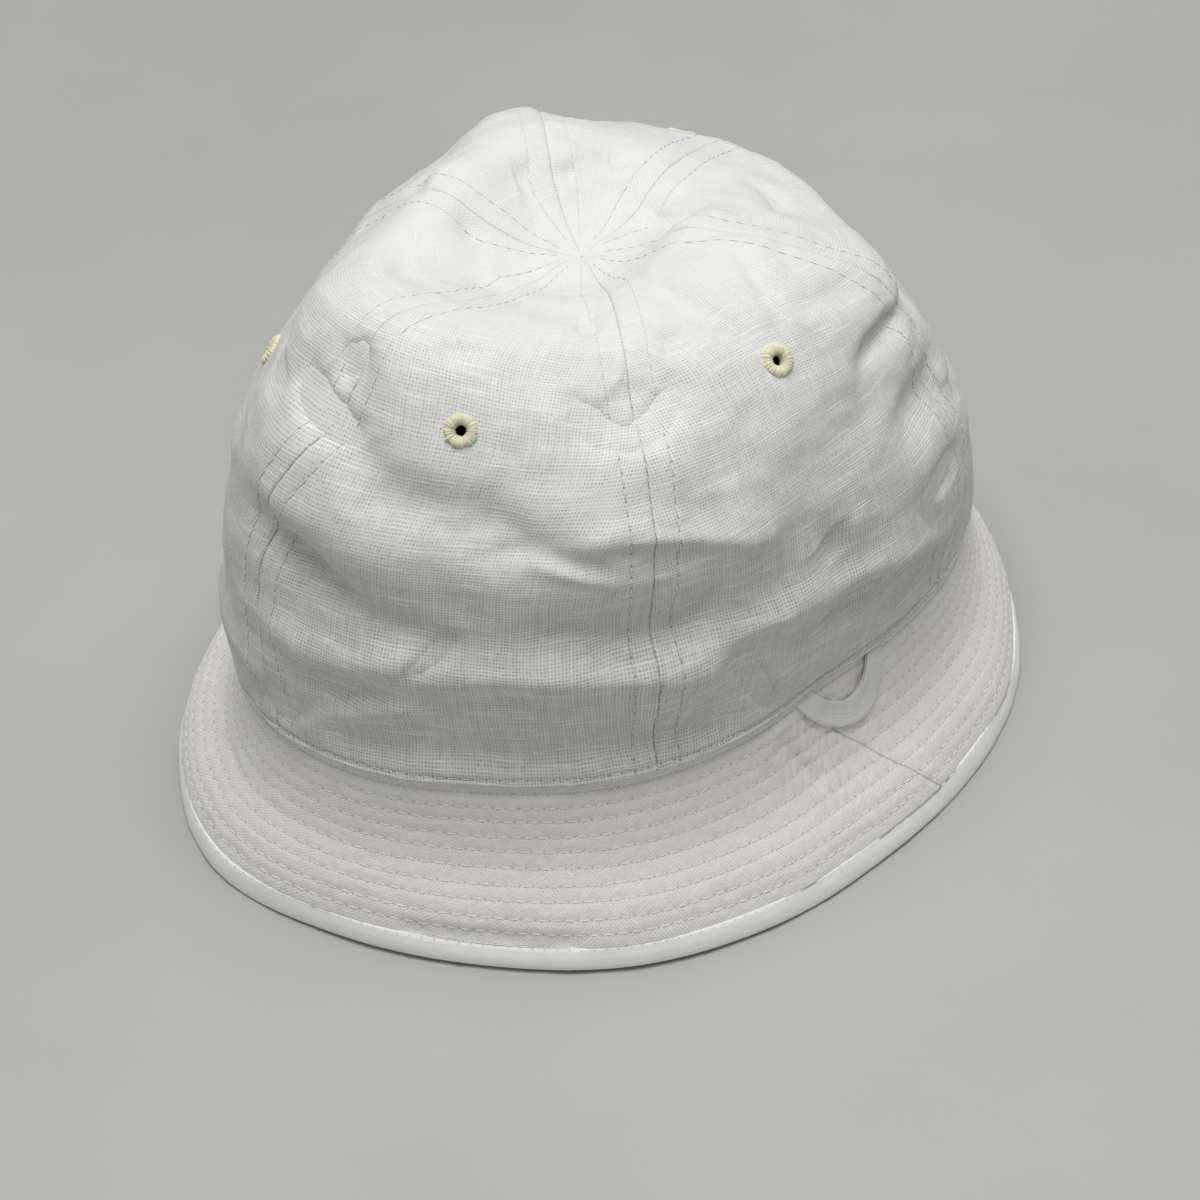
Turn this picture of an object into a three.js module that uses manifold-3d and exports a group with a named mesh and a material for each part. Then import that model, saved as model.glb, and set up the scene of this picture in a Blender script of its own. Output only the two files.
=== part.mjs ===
// Six-panel soft linen hat with a short, steep, row-stitched brim.
// Millimetres, +Z up. The hat stands on its brim edge at z = 0; -Y is the side
// that shows in front, +X is to its right. Azimuths are degrees round the hat
// axis, 0 towards -Y and growing towards +X.
import * as THREE from 'three';
import { mergeVertices } from 'three/addons/utils/BufferGeometryUtils.js';
import Module from 'manifold-3d';

const wasm = await Module();
wasm.setup();

// ------------------------------------------------------------ driving sizes
const SEAM_Z = 48;          // height of the seam between crown and brim
const AXIS_X = 3.23;        // hat axis, a little off the middle of the brim
const AXIS_Y = -0.05;
const CLOTH = 1.2;          // crown wall
const BRIM_WALL = 1.8;      // brim: two layers and interlining
const BRIM_EDGE_WALL = 1.4; // brim, pressed flat inside the binding
const BIND_WALL = 1.0;      // edge binding, one side of its fold
const BIND_TOP = 0.872;     // where the binding starts, share of the brim's slope
const BIND_PROUD = 0.4;     // binding outside, above the brim's face
const LAP = 3.0;            // brim cloth turned up inside the crown
const GAP = 0.3;            // left between neighbouring pieces
const MERIDIAN = 187;       // length of a crown meridian, seam to centre
const ROUND = 94;           // mean radius that the crown takes towards its centre
const CENTRE_HOLE = 0.988;  // panels end here, share of the meridian
const ACROSS = 9;           // facets across a panel
const UP = 16;              // facets up a panel
const EYELET_HOLE = 1.3;    // radius of the thread-bound hole
const EYELET_NECK = 2.1;    // radius inside the cloth
const EYELET_RIM = 4.0;     // radius of the thread ring
const LOOP_THICK = 1.2;     // flat folded strip
const LOOP_RISE = 0.7;      // clear of the brim's face

// Outline round the hat, a row each 20 degrees: seam radius, how far the brim
// flares out below it, and how much the crown leaves its mean profile low on
// the wall, high on the wall, at the shoulder (out and up) and on the top.
const AROUND = [
  { az: 0, ring: 90.0, flare: 16.6, wall: 0.4, upper: 3.6, out: -0.7, lift: -3.0, ridge: -3.2 },
  { az: 20, ring: 84.0, flare: 18.3, wall: 2.4, upper: 3.9, out: 0.6, lift: -4.1, ridge: -1.6 },
  { az: 40, ring: 79.0, flare: 20.1, wall: 4.5, upper: 3.3, out: 2.9, lift: -4.3, ridge: 0.4 },
  { az: 60, ring: 83.5, flare: 17.7, wall: 5.4, upper: 1.3, out: 5.1, lift: -6.9, ridge: 1.5 },
  { az: 80, ring: 91.4, flare: 15.0, wall: 0.7, upper: -4.9, out: 3.2, lift: -11.3, ridge: 0.1 },
  { az: 100, ring: 98.5, flare: 12.5, wall: -5.5, upper: -17.2, out: -6.9, lift: -14.9, ridge: -2.5 },
  { az: 120, ring: 104.0, flare: 12.5, wall: -7.3, upper: -22.5, out: -11.0, lift: -16.6, ridge: -4.8 },
  { az: 140, ring: 102.7, flare: 15.0, wall: -4.8, upper: -15.3, out: -10.1, lift: -16.2, ridge: -4.7 },
  { az: 160, ring: 95.8, flare: 16.5, wall: -1.5, upper: -6.7, out: -8.0, lift: -13.9, ridge: -2.8 },
  { az: 180, ring: 88.2, flare: 16.5, wall: 0.3, upper: -1.7, out: -5.2, lift: -9.5, ridge: 0.2 },
  { az: 200, ring: 83.3, flare: 16.5, wall: 0.6, upper: -0.7, out: -4.7, lift: -6.6, ridge: 2.5 },
  { az: 220, ring: 81.9, flare: 17.0, wall: -0.1, upper: -3.6, out: -4.8, lift: -9.6, ridge: 3.9 },
  { az: 240, ring: 84.2, flare: 18.5, wall: -1.7, upper: -9.3, out: -5.2, lift: -10.3, ridge: 5.2 },
  { az: 260, ring: 90.2, flare: 21.5, wall: -3.5, upper: -11.6, out: -9.0, lift: -9.3, ridge: 3.6 },
  { az: 280, ring: 97.0, flare: 20.8, wall: -3.6, upper: -9.6, out: -9.0, lift: -3.4, ridge: -0.3 },
  { az: 300, ring: 104.3, flare: 17.1, wall: -3.6, upper: -4.7, out: -6.6, lift: 5.2, ridge: -3.9 },
  { az: 320, ring: 101.9, flare: 12.6, wall: -3.8, upper: -1.3, out: -3.5, lift: 6.6, ridge: -4.6 },
  { az: 340, ring: 94.4, flare: 14.7, wall: -1.9, upper: 1.4, out: -1.6, lift: 2.0, ridge: -3.6 },
];

// Mean crown profile at even steps of its length: share of the seam radius
// and height. The middle sinks inside a raised shoulder.
const CROWN = [
  { up: 0.0, share: 1.00, z: 48 },
  { up: 0.1, share: 1.02, z: 67 },
  { up: 0.2, share: 1.02, z: 86 },
  { up: 0.3, share: 1.00, z: 104 },
  { up: 0.4, share: 0.95, z: 121 },
  { up: 0.5, share: 0.86, z: 138 },
  { up: 0.6, share: 0.73, z: 151.5 },
  { up: 0.7, share: 0.54, z: 155.5 },
  { up: 0.8, share: 0.34, z: 151 },
  { up: 0.9, share: 0.16, z: 142.3 },
  { up: 1.0, share: 0.00, z: 138.8 },
];

// Brim profile at even steps of its slope: share of the flare and of the drop.
const BRIM = [
  { down: 0.0, out: 0.00, drop: 0.00 },
  { down: 0.1, out: 0.00, drop: 0.10 },
  { down: 0.2, out: 0.03, drop: 0.21 },
  { down: 0.3, out: 0.09, drop: 0.31 },
  { down: 0.4, out: 0.18, drop: 0.41 },
  { down: 0.5, out: 0.31, drop: 0.50 },
  { down: 0.6, out: 0.50, drop: 0.58 },
  { down: 0.7, out: 0.68, drop: 0.66 },
  { down: 0.8, out: 0.83, drop: 0.76 },
  { down: 0.9, out: 0.94, drop: 0.88 },
  { down: 1.0, out: 1.00, drop: 1.00 },
];

// The six seams between the panels: azimuth of each at even shares of the meridian.
const SEAMS = [
  { up: 0, front: 5.5, right: 71.5, backRight: 128, back: 185, backLeft: 248, left: 307 },
  { up: 0.125, front: 6.2, right: 73.4, backRight: 129.5, back: 185.2, backLeft: 248, left: 305.6 },
  { up: 0.25, front: 6.4, right: 75, backRight: 131.5, back: 185.5, backLeft: 248, left: 305.3 },
  { up: 0.375, front: 7.2, right: 76, backRight: 134.5, back: 186, backLeft: 247.6, left: 307.6 },
  { up: 0.5, front: 7.6, right: 76.2, backRight: 139, back: 187, backLeft: 247.4, left: 315.4 },
  { up: 0.625, front: 7.8, right: 74, backRight: 144, back: 188.4, backLeft: 248.4, left: 317 },
  { up: 0.75, front: 9.3, right: 68.5, backRight: 141, back: 190.5, backLeft: 253, left: 321.6 },
  { up: 0.875, front: 11.8, right: 64, backRight: 136, back: 195, backLeft: 262.5, left: 315 },
  { up: 1, front: 14, right: 61, backRight: 132, back: 199, backLeft: 268, left: 308 },
];
const SEAM_NAMES = ['front', 'right', 'backRight', 'back', 'backLeft', 'left'];

// One eyelet in the middle of each panel: azimuth and share of the meridian.
const EYELETS = [
  { az: 40.0, up: 0.545 },
  { az: 101.0, up: 0.50 },
  { az: 156.5, up: 0.52 },
  { az: 216.5, up: 0.46 },
  { az: 277.0, up: 0.43 },
  { az: 337.0, up: 0.522 },
];

// Folds and dents of the crown. Each runs along a curve through three places,
// given by azimuth and share of the meridian; above and below are its widths on
// its two sides, deep is how far it stands out (plus) or dips in (minus).
const FOLDS = [
  { az0: 2, up0: 0.585, az1: 6, up1: 0.57, az2: 12, up2: 0.585, above: 7, below: 8, deep: -2.6 }, // pocket above the V on the front seam
  { az0: 3, up0: 0.5, az1: 8, up1: 0.493, az2: 13, up2: 0.505, above: 8, below: 10, deep: 0.8 }, // lip below the V
  { az0: -50, up0: 0.545, az1: -46, up1: 0.532, az2: -40, up2: 0.52, above: 7, below: 8, deep: -2 }, // pocket above the left crescent
  { az0: -60, up0: 0.45, az1: -52, up1: 0.44, az2: -45, up2: 0.43, above: 7, below: 9, deep: 2 }, // swelling below it
  { az0: -38, up0: 0.485, az1: -35, up1: 0.455, az2: -31, up2: 0.435, above: 6, below: 8, deep: -2 },
  { az0: -32, up0: 0.43, az1: -22, up1: 0.432, az2: -10, up2: 0.405, above: 5.5, below: 8, deep: -2.6 }, // long dip across the left front
  { az0: -54, up0: 0.335, az1: -49, up1: 0.318, az2: -43, up2: 0.295, above: 6, below: 8.5, deep: -6.6 }, // deep dent at the left
  { az0: -43, up0: 0.295, az1: -34, up1: 0.266, az2: -24, up2: 0.243, above: 4.5, below: 7, deep: -3 },
  { az0: -52, up0: 0.41, az1: -42, up1: 0.385, az2: -30, up2: 0.36, above: 9, below: 7, deep: 1.8 }, // swelling above it
  { az0: -50, up0: 0.178, az1: -38, up1: 0.18, az2: -26, up2: 0.222, above: 6, below: 4.5, deep: 2.6 }, // ridges round the lower front
  { az0: -28, up0: 0.176, az1: -10, up1: 0.194, az2: 13, up2: 0.16, above: 7, below: 5, deep: 3.4 },
  { az0: -40, up0: 0.045, az1: -12, up1: 0.048, az2: 16, up2: 0.04, above: 13, below: 7, deep: -3.8 }, // tuck above the crown's edge
  { az0: -4, up0: 0.226, az1: 10, up1: 0.222, az2: 27, up2: 0.228, above: 13, below: 6.5, deep: -6 }, // hollow across the front seam
  { az0: -2, up0: 0.405, az1: 9, up1: 0.392, az2: 26, up2: 0.328, above: 6, below: 4.5, deep: 2.2 }, // its upper lip
  { az0: 14, up0: 0.204, az1: 27, up1: 0.195, az2: 42, up2: 0.166, above: 6.5, below: 5, deep: 2.6 }, // its lower lip
  { az0: 39, up0: 0.272, az1: 40, up1: 0.25, az2: 41, up2: 0.222, above: 5.5, below: 5.5, deep: -3.6 },
  { az0: 42, up0: 0.184, az1: 53, up1: 0.167, az2: 68, up2: 0.122, above: 5, below: 4.5, deep: 2 },
  { az0: 40, up0: 0.142, az1: 54, up1: 0.124, az2: 70, up2: 0.075, above: 4.5, below: 7, deep: -2.6 },
  { az0: 62, up0: 0.342, az1: 70, up1: 0.345, az2: 80, up2: 0.332, above: 5.5, below: 7, deep: -4 },
  { az0: 58, up0: 0.478, az1: 68, up1: 0.49, az2: 80, up2: 0.476, above: 4.5, below: 6, deep: -3 },
  { az0: 44, up0: 0.445, az1: 50, up1: 0.43, az2: 57, up2: 0.422, above: 6, below: 9, deep: -1 },
  { az0: -18, up0: 0.583, az1: -10, up1: 0.6, az2: 0, up2: 0.63, above: 6, below: 6, deep: -1.2 },
  { az0: 27, up0: 0.775, az1: 30, up1: 0.685, az2: 35, up2: 0.608, above: 4.5, below: 5.5, deep: -2.2 },
  { az0: 54, up0: 0.6, az1: 62, up1: 0.603, az2: 70, up2: 0.598, above: 4.5, below: 6, deep: -1.6 },
  { az0: 66, up0: 0.835, az1: 78, up1: 0.818, az2: 92, up2: 0.8, above: 5, below: 7, deep: 2.8 },
  { az0: 163, up0: 0.602, az1: 171, up1: 0.598, az2: 179, up2: 0.603, above: 9, below: 9, deep: -3 }, // step in the outline at the back
  { az0: 188, up0: 0.612, az1: 197, up1: 0.613, az2: 205, up2: 0.602, above: 9, below: 9, deep: 2.2 },
  { az0: 206, up0: 0.845, az1: 212, up1: 0.84, az2: 219, up2: 0.835, above: 6, below: 6, deep: -2 },
  { az0: 264, up0: 0.838, az1: 271, up1: 0.835, az2: 279, up2: 0.833, above: 6, below: 6, deep: -1.8 },
  { az0: 140, up0: 0.35, az1: 155, up1: 0.34, az2: 170, up2: 0.3, above: 10, below: 16, deep: -2.4 },
  { az0: 205, up0: 0.25, az1: 220, up1: 0.27, az2: 235, up2: 0.33, above: 10, below: 15, deep: -2.4 },
  { az0: 84, up0: 0.46, az1: 93, up1: 0.43, az2: 104, up2: 0.42, above: 5, below: 9, deep: -2.4 },
  { az0: 92, up0: 0.25, az1: 102, up1: 0.22, az2: 114, up2: 0.235, above: 6, below: 10, deep: -2.8 },
  { az0: 108, up0: 0.14, az1: 120, up1: 0.12, az2: 138, up2: 0.145, above: 5, below: 4.5, deep: 1.9 },
  { az0: 132, up0: 0.2, az1: 146, up1: 0.19, az2: 160, up2: 0.215, above: 5, below: 8, deep: -2.2 },
  { az0: 176, up0: 0.46, az1: 188, up1: 0.44, az2: 204, up2: 0.455, above: 5, below: 9, deep: -2.6 },
  { az0: 172, up0: 0.17, az1: 186, up1: 0.155, az2: 206, up2: 0.16, above: 6, below: 4.5, deep: 2.2 },
  { az0: 226, up0: 0.45, az1: 238, up1: 0.42, az2: 252, up2: 0.41, above: 5, below: 9, deep: -2.6 },
  { az0: 246, up0: 0.21, az1: 258, up1: 0.185, az2: 276, up2: 0.2, above: 5, below: 9, deep: -2.9 },
  { az0: 262, up0: 0.33, az1: 272, up1: 0.345, az2: 286, up2: 0.32, above: 7, below: 5, deep: 1.9 },
  { az0: 280, up0: 0.09, az1: 292, up1: 0.105, az2: 304, up2: 0.085, above: 5, below: 4.5, deep: 1.6 },
];

// Hanging loop, a flat strip lying on the brim with both ends in the seam:
// azimuth and share of the brim's slope of its middle line, and its width.
const LOOP = [
  { az: 35.0, down: 0.055, width: 5.0 },
  { az: 38.5, down: 0.150, width: 5.4 },
  { az: 42.0, down: 0.225, width: 5.8 },
  { az: 45.5, down: 0.275, width: 6.0 },
  { az: 48.6, down: 0.255, width: 5.6 },
  { az: 50.7, down: 0.190, width: 5.0 },
  { az: 52.5, down: 0.110, width: 4.6 },
  { az: 53.8, down: 0.045, width: 4.4 },
];

// ---------------------------------------------------------------- functions
const rad = (deg) => deg * Math.PI / 180;

function cubic(p0, p1, p2, p3, t) {
  return 0.5 * ((2 * p1) + (p2 - p0) * t + (2 * p0 - 5 * p1 + 4 * p2 - p3) * t * t
    + (3 * p1 - p0 - 3 * p2 + p3) * t * t * t);
}

// a column of AROUND at any azimuth
function around(column, az) {
  const n = AROUND.length;
  const x = (((az % 360) + 360) % 360) / (360 / n);
  const i = Math.floor(x);
  const row = (k) => AROUND[(k + n) % n][column];
  return cubic(row(i - 1), row(i), row(i + 1), row(i + 2), x - i);
}

// a column of an evenly stepped profile at share s of its length
function along(rows, column, s) {
  const last = rows.length - 1;
  const x = Math.min(Math.max(s * last, 0), last - 1e-9);
  const i = Math.floor(x);
  const p1 = rows[i][column];
  const p2 = rows[i + 1][column];
  const p0 = i > 0 ? rows[i - 1][column] : 2 * p1 - p2;
  const p3 = i < last - 1 ? rows[i + 2][column] : 2 * p2 - p1;
  return cubic(p0, p1, p2, p3, x - i);
}

function bump(s, middle, half) {
  const t = Math.min(Math.abs(s - middle) / half, 1);
  return (1 - t * t) ** 2;
}

function smooth(x) {
  const t = Math.min(Math.max(x, 0), 1);
  return t * t * (3 - 2 * t);
}

const turned = (r, z, az) => new THREE.Vector3(
  AXIS_X + r * Math.sin(rad(az)), AXIS_Y - r * Math.cos(rad(az)), z);

// crown outside before folds
function crownPlain(az, up) {
  const share = along(CROWN, 'share', up);
  const even = smooth((1 - up) / 0.35);
  const r = (around('ring', az) * even + ROUND * (1 - even)) * share
    + around('wall', az) * bump(up, 0.2, 0.2)
    + around('upper', az) * bump(up, 0.4, 0.22)
    + around('out', az) * bump(up, 0.6, 0.22);
  const z = along(CROWN, 'z', up)
    + around('lift', az) * bump(up, 0.6, 0.24)
    + around('ridge', az) * bump(up, 0.78, 0.2);
  return turned(r, z, az);
}

// depth of the folds at a place on the crown
function foldDepth(az, up) {
  let depth = 0;
  const steps = 6;
  for (const f of FOLDS) {
    const r = ROUND * along(CROWN, 'share', f.up1);
    const a = ((az - f.az1 + 900) % 360) - 180 + f.az1;
    const reach = 2.6 * Math.max(f.above, f.below);
    const wide = reach / rad(1) / r;
    if (a < Math.min(f.az0, f.az1, f.az2) - wide || a > Math.max(f.az0, f.az1, f.az2) + wide) continue;
    const px = rad(a) * r;
    const py = up * MERIDIAN;
    const curve = (t) => {
      const w = [(1 - t) * (1 - 2 * t), 4 * t * (1 - t), t * (2 * t - 1)];
      return [rad(f.az0 * w[0] + f.az1 * w[1] + f.az2 * w[2]) * r, (f.up0 * w[0] + f.up1 * w[1] + f.up2 * w[2]) * MERIDIAN];
    };
    let best = Infinity;
    let lean = 0;
    let place = 0;
    for (let k = 0; k < steps; k += 1) {
      const [x0, y0] = curve(k / steps);
      const [x1, y1] = curve((k + 1) / steps);
      const dx = x1 - x0;
      const dy = y1 - y0;
      const t = Math.min(Math.max(((px - x0) * dx + (py - y0) * dy) / (dx * dx + dy * dy), 0), 1);
      const ox = px - x0 - t * dx;
      const oy = py - y0 - t * dy;
      const away = Math.hypot(ox, oy);
      if (away < best) {
        best = away;
        lean = (dx * oy - dy * ox) / (Math.hypot(dx, dy) * Math.max(away, 1e-6));
        place = (k + t) / steps;
      }
    }
    const width = f.below + (f.above - f.below) * (0.5 + 0.5 * lean);
    const fade = 1 - 0.5 * Math.abs(2 * place - 1) ** 3;
    depth += f.deep * fade * Math.exp(-((best / width) ** 2)) * smooth((2.6 - best / width) / 0.5);
  }
  return depth * smooth(up / 0.05);
}

function normalOf(surface, az, s, dAz = 0.4, dS = 0.004) {
  const lo = Math.max(s - dS, 0);
  const hi = Math.min(s + dS, 1);
  const a = surface(az + dAz, s).sub(surface(az - dAz, s));
  const b = surface(az, hi).sub(surface(az, lo));
  return a.cross(b).normalize();
}

function crownOutside(az, up) {
  const n = normalOf(crownPlain, az, Math.min(up, 0.985));
  return crownPlain(az, up).addScaledVector(n, foldDepth(az, up));
}

// point at a depth under the crown's outside; level at the seam
function crownAt(az, up, offset) {
  const n = normalOf(crownOutside, az, Math.min(up, 0.98));
  n.z *= smooth(up / 0.06);
  return crownOutside(az, up).addScaledVector(n.normalize(), offset);
}

// azimuth of a seam at a share of the meridian
const seamAz = (k, up) => along(SEAMS, SEAM_NAMES[k % 6], up) + (k === 6 ? 360 : 0);

// brim outside; its top sits just inside the crown's edge
const BRIM_SET_IN = CLOTH + GAP + 0.1;
function brimOutside(az, down) {
  const flare = around('flare', az) + BRIM_SET_IN;
  const r = around('ring', az) - BRIM_SET_IN + flare * along(BRIM, 'out', down)
    + (BRIM_SET_IN - 0.7) * smooth(down / 0.12) * (1 - along(BRIM, 'out', down));
  return turned(r, SEAM_Z * (1 - along(BRIM, 'drop', down)), az);
}

function brimAt(az, down, offset) {
  const n = normalOf(brimOutside, az, down).negate();
  return brimOutside(az, down).addScaledVector(n, offset);
}

// a place near the edge at a given height, moved sideways only
function edgeAt(az, z, offset) {
  const p = brimOutside(az, 1 - z / SEAM_Z * (0.1 / 0.12));
  const n = normalOf(brimOutside, az, 0.97).negate();
  n.z = 0;
  p.z = z;
  return p.addScaledVector(n.normalize(), offset);
}

// closed body from a grid of sections: rows[i][j], closed along j, and along i
// when ring is true, otherwise capped at both ends
function bodyOf(rows, ring) {
  const m = rows[0].length;
  const pts = [];
  const idx = [];
  rows.forEach((row) => row.forEach((p) => pts.push(p.x, p.y, p.z)));
  const steps = ring ? rows.length : rows.length - 1;
  for (let i = 0; i < steps; i += 1) {
    const a = i * m;
    const b = ((i + 1) % rows.length) * m;
    for (let j = 0; j < m; j += 1) {
      const k = (j + 1) % m;
      idx.push(a + j, b + j, b + k, a + j, b + k, a + k);
    }
  }
  if (!ring) {
    // sections are two facing lines of m/2 points, so the caps are ladders
    const cap = (base, flip) => {
      for (let j = 0; j < m / 2 - 1; j += 1) {
        const q = [base + j, base + j + 1, base + m - 2 - j, base + m - 1 - j];
        if (flip) idx.push(q[0], q[2], q[1], q[0], q[3], q[2]);
        else idx.push(q[0], q[1], q[2], q[0], q[2], q[3]);
      }
    };
    cap(0, false);
    cap((rows.length - 1) * m, true);
  }
  return orient(pts, idx);
}

// geometry from points and triangles, turned to face outwards
function orient(pts, idx) {
  let volume = 0;
  const v = (k) => new THREE.Vector3(pts[3 * k], pts[3 * k + 1], pts[3 * k + 2]);
  for (let t = 0; t < idx.length; t += 3) {
    volume += v(idx[t]).dot(v(idx[t + 1]).cross(v(idx[t + 2])));
  }
  if (volume < 0) {
    for (let t = 0; t < idx.length; t += 3) [idx[t + 1], idx[t + 2]] = [idx[t + 2], idx[t + 1]];
  }
  const g = new THREE.BufferGeometry();
  g.setAttribute('position', new THREE.Float32BufferAttribute(pts, 3));
  g.setIndex(idx);
  return g;
}

function toSolid(geometry) {
  const g = geometry.clone();
  g.deleteAttribute('normal');
  g.deleteAttribute('uv');
  const merged = mergeVertices(g, 1e-5);
  return new wasm.Manifold(new wasm.Mesh({
    numProp: 3,
    vertProperties: Float32Array.from(merged.attributes.position.array),
    triVerts: Uint32Array.from(merged.index.array),
  }));
}

function fromSolid(solid) {
  const mesh = solid.getMesh();
  const g = new THREE.BufferGeometry();
  g.setAttribute('position', new THREE.Float32BufferAttribute(mesh.vertProperties, 3));
  g.setIndex(Array.from(mesh.triVerts));
  return g;
}

// -------------------------------------------------------------------- crown
function panelBody(k) {
  const rows = [];
  for (let i = 0; i <= ACROSS; i += 1) {
    const outer = [];
    const inner = [];
    for (let j = 0; j <= UP; j += 1) {
      const up = CENTRE_HOLE * j / UP;
      const from = seamAz(k, up);
      const to = seamAz(k + 1, up);
      const p = crownPlain((from + to) / 2, up);
      const r = Math.hypot(p.x - AXIS_X, p.y - AXIS_Y);
      const edge = (GAP / 2 + 0.02) / r * 180 / Math.PI;
      const az = from + edge + (to - from - 2 * edge) * i / ACROSS;
      outer.push(crownAt(az, up, 0));
      inner.push(crownAt(az, up, -CLOTH));
    }
    rows.push([...outer, ...inner.reverse()]);
  }
  return bodyOf(rows, false);
}

// eyelet section, radius and height over the cloth's outside, grown by g; the
// grown one is full, to clear the cloth out of the hole
function eyeletProfile(g) {
  const top = GAP - g;
  const base = -CLOTH - GAP + g;
  const hole = g > 0 ? 0 : EYELET_HOLE;
  return [
    [hole, base - 0.5 - 1.4 * g], [EYELET_RIM - 0.9 + g, base - 0.9 - 1.4 * g], [EYELET_RIM + g, base - 0.3 - 2 * g],
    [EYELET_RIM - 0.4 + g, base], [EYELET_NECK + g, base], [EYELET_NECK + g, top],
    [EYELET_RIM - 0.4 + g, top], [EYELET_RIM + g, top + 0.4 + 2 * g], [EYELET_RIM - 0.9 + g, top + 1.0 + 1.4 * g],
    [hole, top + 0.6 + 1.4 * g],
  ];
}

function eyeletBody(place, g) {
  const p = crownAt(place.az, place.up, 0);
  const n = normalOf(crownOutside, place.az, place.up, 2.2, 0.02);
  const section = eyeletProfile(g);
  if (g === 0) section.push(section[0]);
  const lathe = new THREE.LatheGeometry(section.map(([r, h]) => new THREE.Vector2(r, h)), 11);
  lathe.applyQuaternion(new THREE.Quaternion().setFromUnitVectors(new THREE.Vector3(0, 1, 0), n));
  lathe.translate(p.x, p.y, p.z);
  lathe.deleteAttribute('normal');
  lathe.deleteAttribute('uv');
  const merged = mergeVertices(lathe, 1e-4);
  const idx = Array.from(merged.index.array);
  const kept = [];
  for (let t = 0; t < idx.length; t += 3) {
    const [a, b, c] = idx.slice(t, t + 3);
    if (a !== b && b !== c && a !== c) kept.push(a, b, c);
  }
  return orient(Array.from(merged.attributes.position.array), kept);
}

// --------------------------------------------------------------------- brim
// azimuths of the brim's sections: the same as the panels' lower corners
function sectionAzimuths() {
  const list = [];
  SEAM_NAMES.forEach((name, k) => {
    const from = seamAz(k, 0);
    const span = seamAz(k + 1, 0) - from;
    for (let i = 0; i < ACROSS; i += 1) list.push(from + span * i / ACROSS);
  });
  return list;
}

function brimBody() {
  const stops = [0.02, 0.14, 0.32, 0.48, 0.62, 0.76, BIND_TOP - 0.012];
  const rows = sectionAzimuths().map((az) => {
    const ring = around('ring', az);
    // the turned-up cloth lies along the panels' lowest row of facets
    const row = CENTRE_HOLE / UP;
    const lap = (offset) => crownAt(az, 0, offset).lerp(crownAt(az, row, offset), LAP / (row * MERIDIAN));
    const outer = [lap(-BRIM_SET_IN), turned(ring - BRIM_SET_IN, SEAM_Z - 0.6, az)];
    const inner = [lap(-BRIM_SET_IN - BRIM_WALL)];
    for (const s of stops.slice(1)) {
      outer.push(brimAt(az, s, 0));
      inner.push(brimAt(az, s, -BRIM_WALL));
    }
    const sunk = BIND_PROUD - BIND_WALL - GAP;
    outer.push(brimAt(az, BIND_TOP, sunk), edgeAt(az, BIND_WALL + GAP, sunk));
    inner.push(brimAt(az, BIND_TOP, sunk - BRIM_EDGE_WALL), edgeAt(az, BIND_WALL + GAP, sunk - BRIM_EDGE_WALL));
    return [...outer, ...inner.reverse()];
  });
  return bodyOf(rows, true);
}

function bindingBody() {
  const out = BIND_PROUD;
  const slot = BIND_PROUD - BIND_WALL;
  const back = slot - 2 * GAP - BRIM_EDGE_WALL;
  const high = SEAM_Z * (1 - along(BRIM, 'drop', BIND_TOP + 0.006));
  const rows = sectionAzimuths().map((az) => [
    brimAt(az, BIND_TOP + 0.006, slot), brimAt(az, BIND_TOP + 0.006, out - 0.3), brimAt(az, BIND_TOP + 0.03, out),
    edgeAt(az, 0.8, out), edgeAt(az, 0, out - 0.6), edgeAt(az, 0, back - BIND_WALL + 0.6),
    edgeAt(az, 0.8, back - BIND_WALL), edgeAt(az, high, back - BIND_WALL - 0.3), edgeAt(az, high, back - 0.3),
    edgeAt(az, BIND_WALL, back), edgeAt(az, BIND_WALL, slot),
  ]);
  return bodyOf(rows, true);
}

// --------------------------------------------------------------------- loop
function loopBody() {
  const steps = 20;
  const at = (t, column) => along(LOOP, column, t);
  const rows = [];
  for (let i = 0; i <= steps; i += 1) {
    const t = i / steps;
    const az = at(t, 'az');
    const down = at(t, 'down');
    const p = brimOutside(az, down);
    const ahead = brimOutside(at(Math.min(t + 0.02, 1), 'az'), at(Math.min(t + 0.02, 1), 'down'));
    const behind = brimOutside(at(Math.max(t - 0.02, 0), 'az'), at(Math.max(t - 0.02, 0), 'down'));
    const run = ahead.sub(behind).normalize();
    const n = normalOf(brimOutside, az, Math.max(down, 0.02)).negate();
    const across = new THREE.Vector3().crossVectors(n, run).normalize();
    const half = at(t, 'width') / 2;
    const corner = (side, lift) => {
      const q = p.clone().addScaledVector(across, side * half);
      // follow the brim under the strip's edge
      const dz = (SEAM_Z - q.z) / SEAM_Z;
      let s = down;
      for (let k = 0; k < 8; k += 1) s += dz - along(BRIM, 'drop', s);
      const a = Math.atan2(q.x - AXIS_X, -(q.y - AXIS_Y)) * 180 / Math.PI;
      const top = Math.max(s, 0.02);
      return brimAt(a, top, lift);
    };
    const low = LOOP_RISE;
    const high = LOOP_RISE + LOOP_THICK;
    rows.push([corner(-1, high), corner(0, high + 0.1), corner(1, high), corner(1, low), corner(0, low), corner(-1, low)]);
  }
  return bodyOf(rows, false);
}

// ----------------------------------------------------------------- assembly
const linen = new THREE.MeshStandardMaterial({ color: 0xe2e1dc, roughness: 0.92, metalness: 0 });
const brimLinen = new THREE.MeshStandardMaterial({ color: 0xdcdad2, roughness: 0.92, metalness: 0 });
const tape = new THREE.MeshStandardMaterial({ color: 0xe6e4dd, roughness: 0.9, metalness: 0 });
const thread = new THREE.MeshStandardMaterial({ color: 0xdcd3a8, roughness: 0.75, metalness: 0 });

const hat = new THREE.Group();
hat.name = 'hat';

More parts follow.
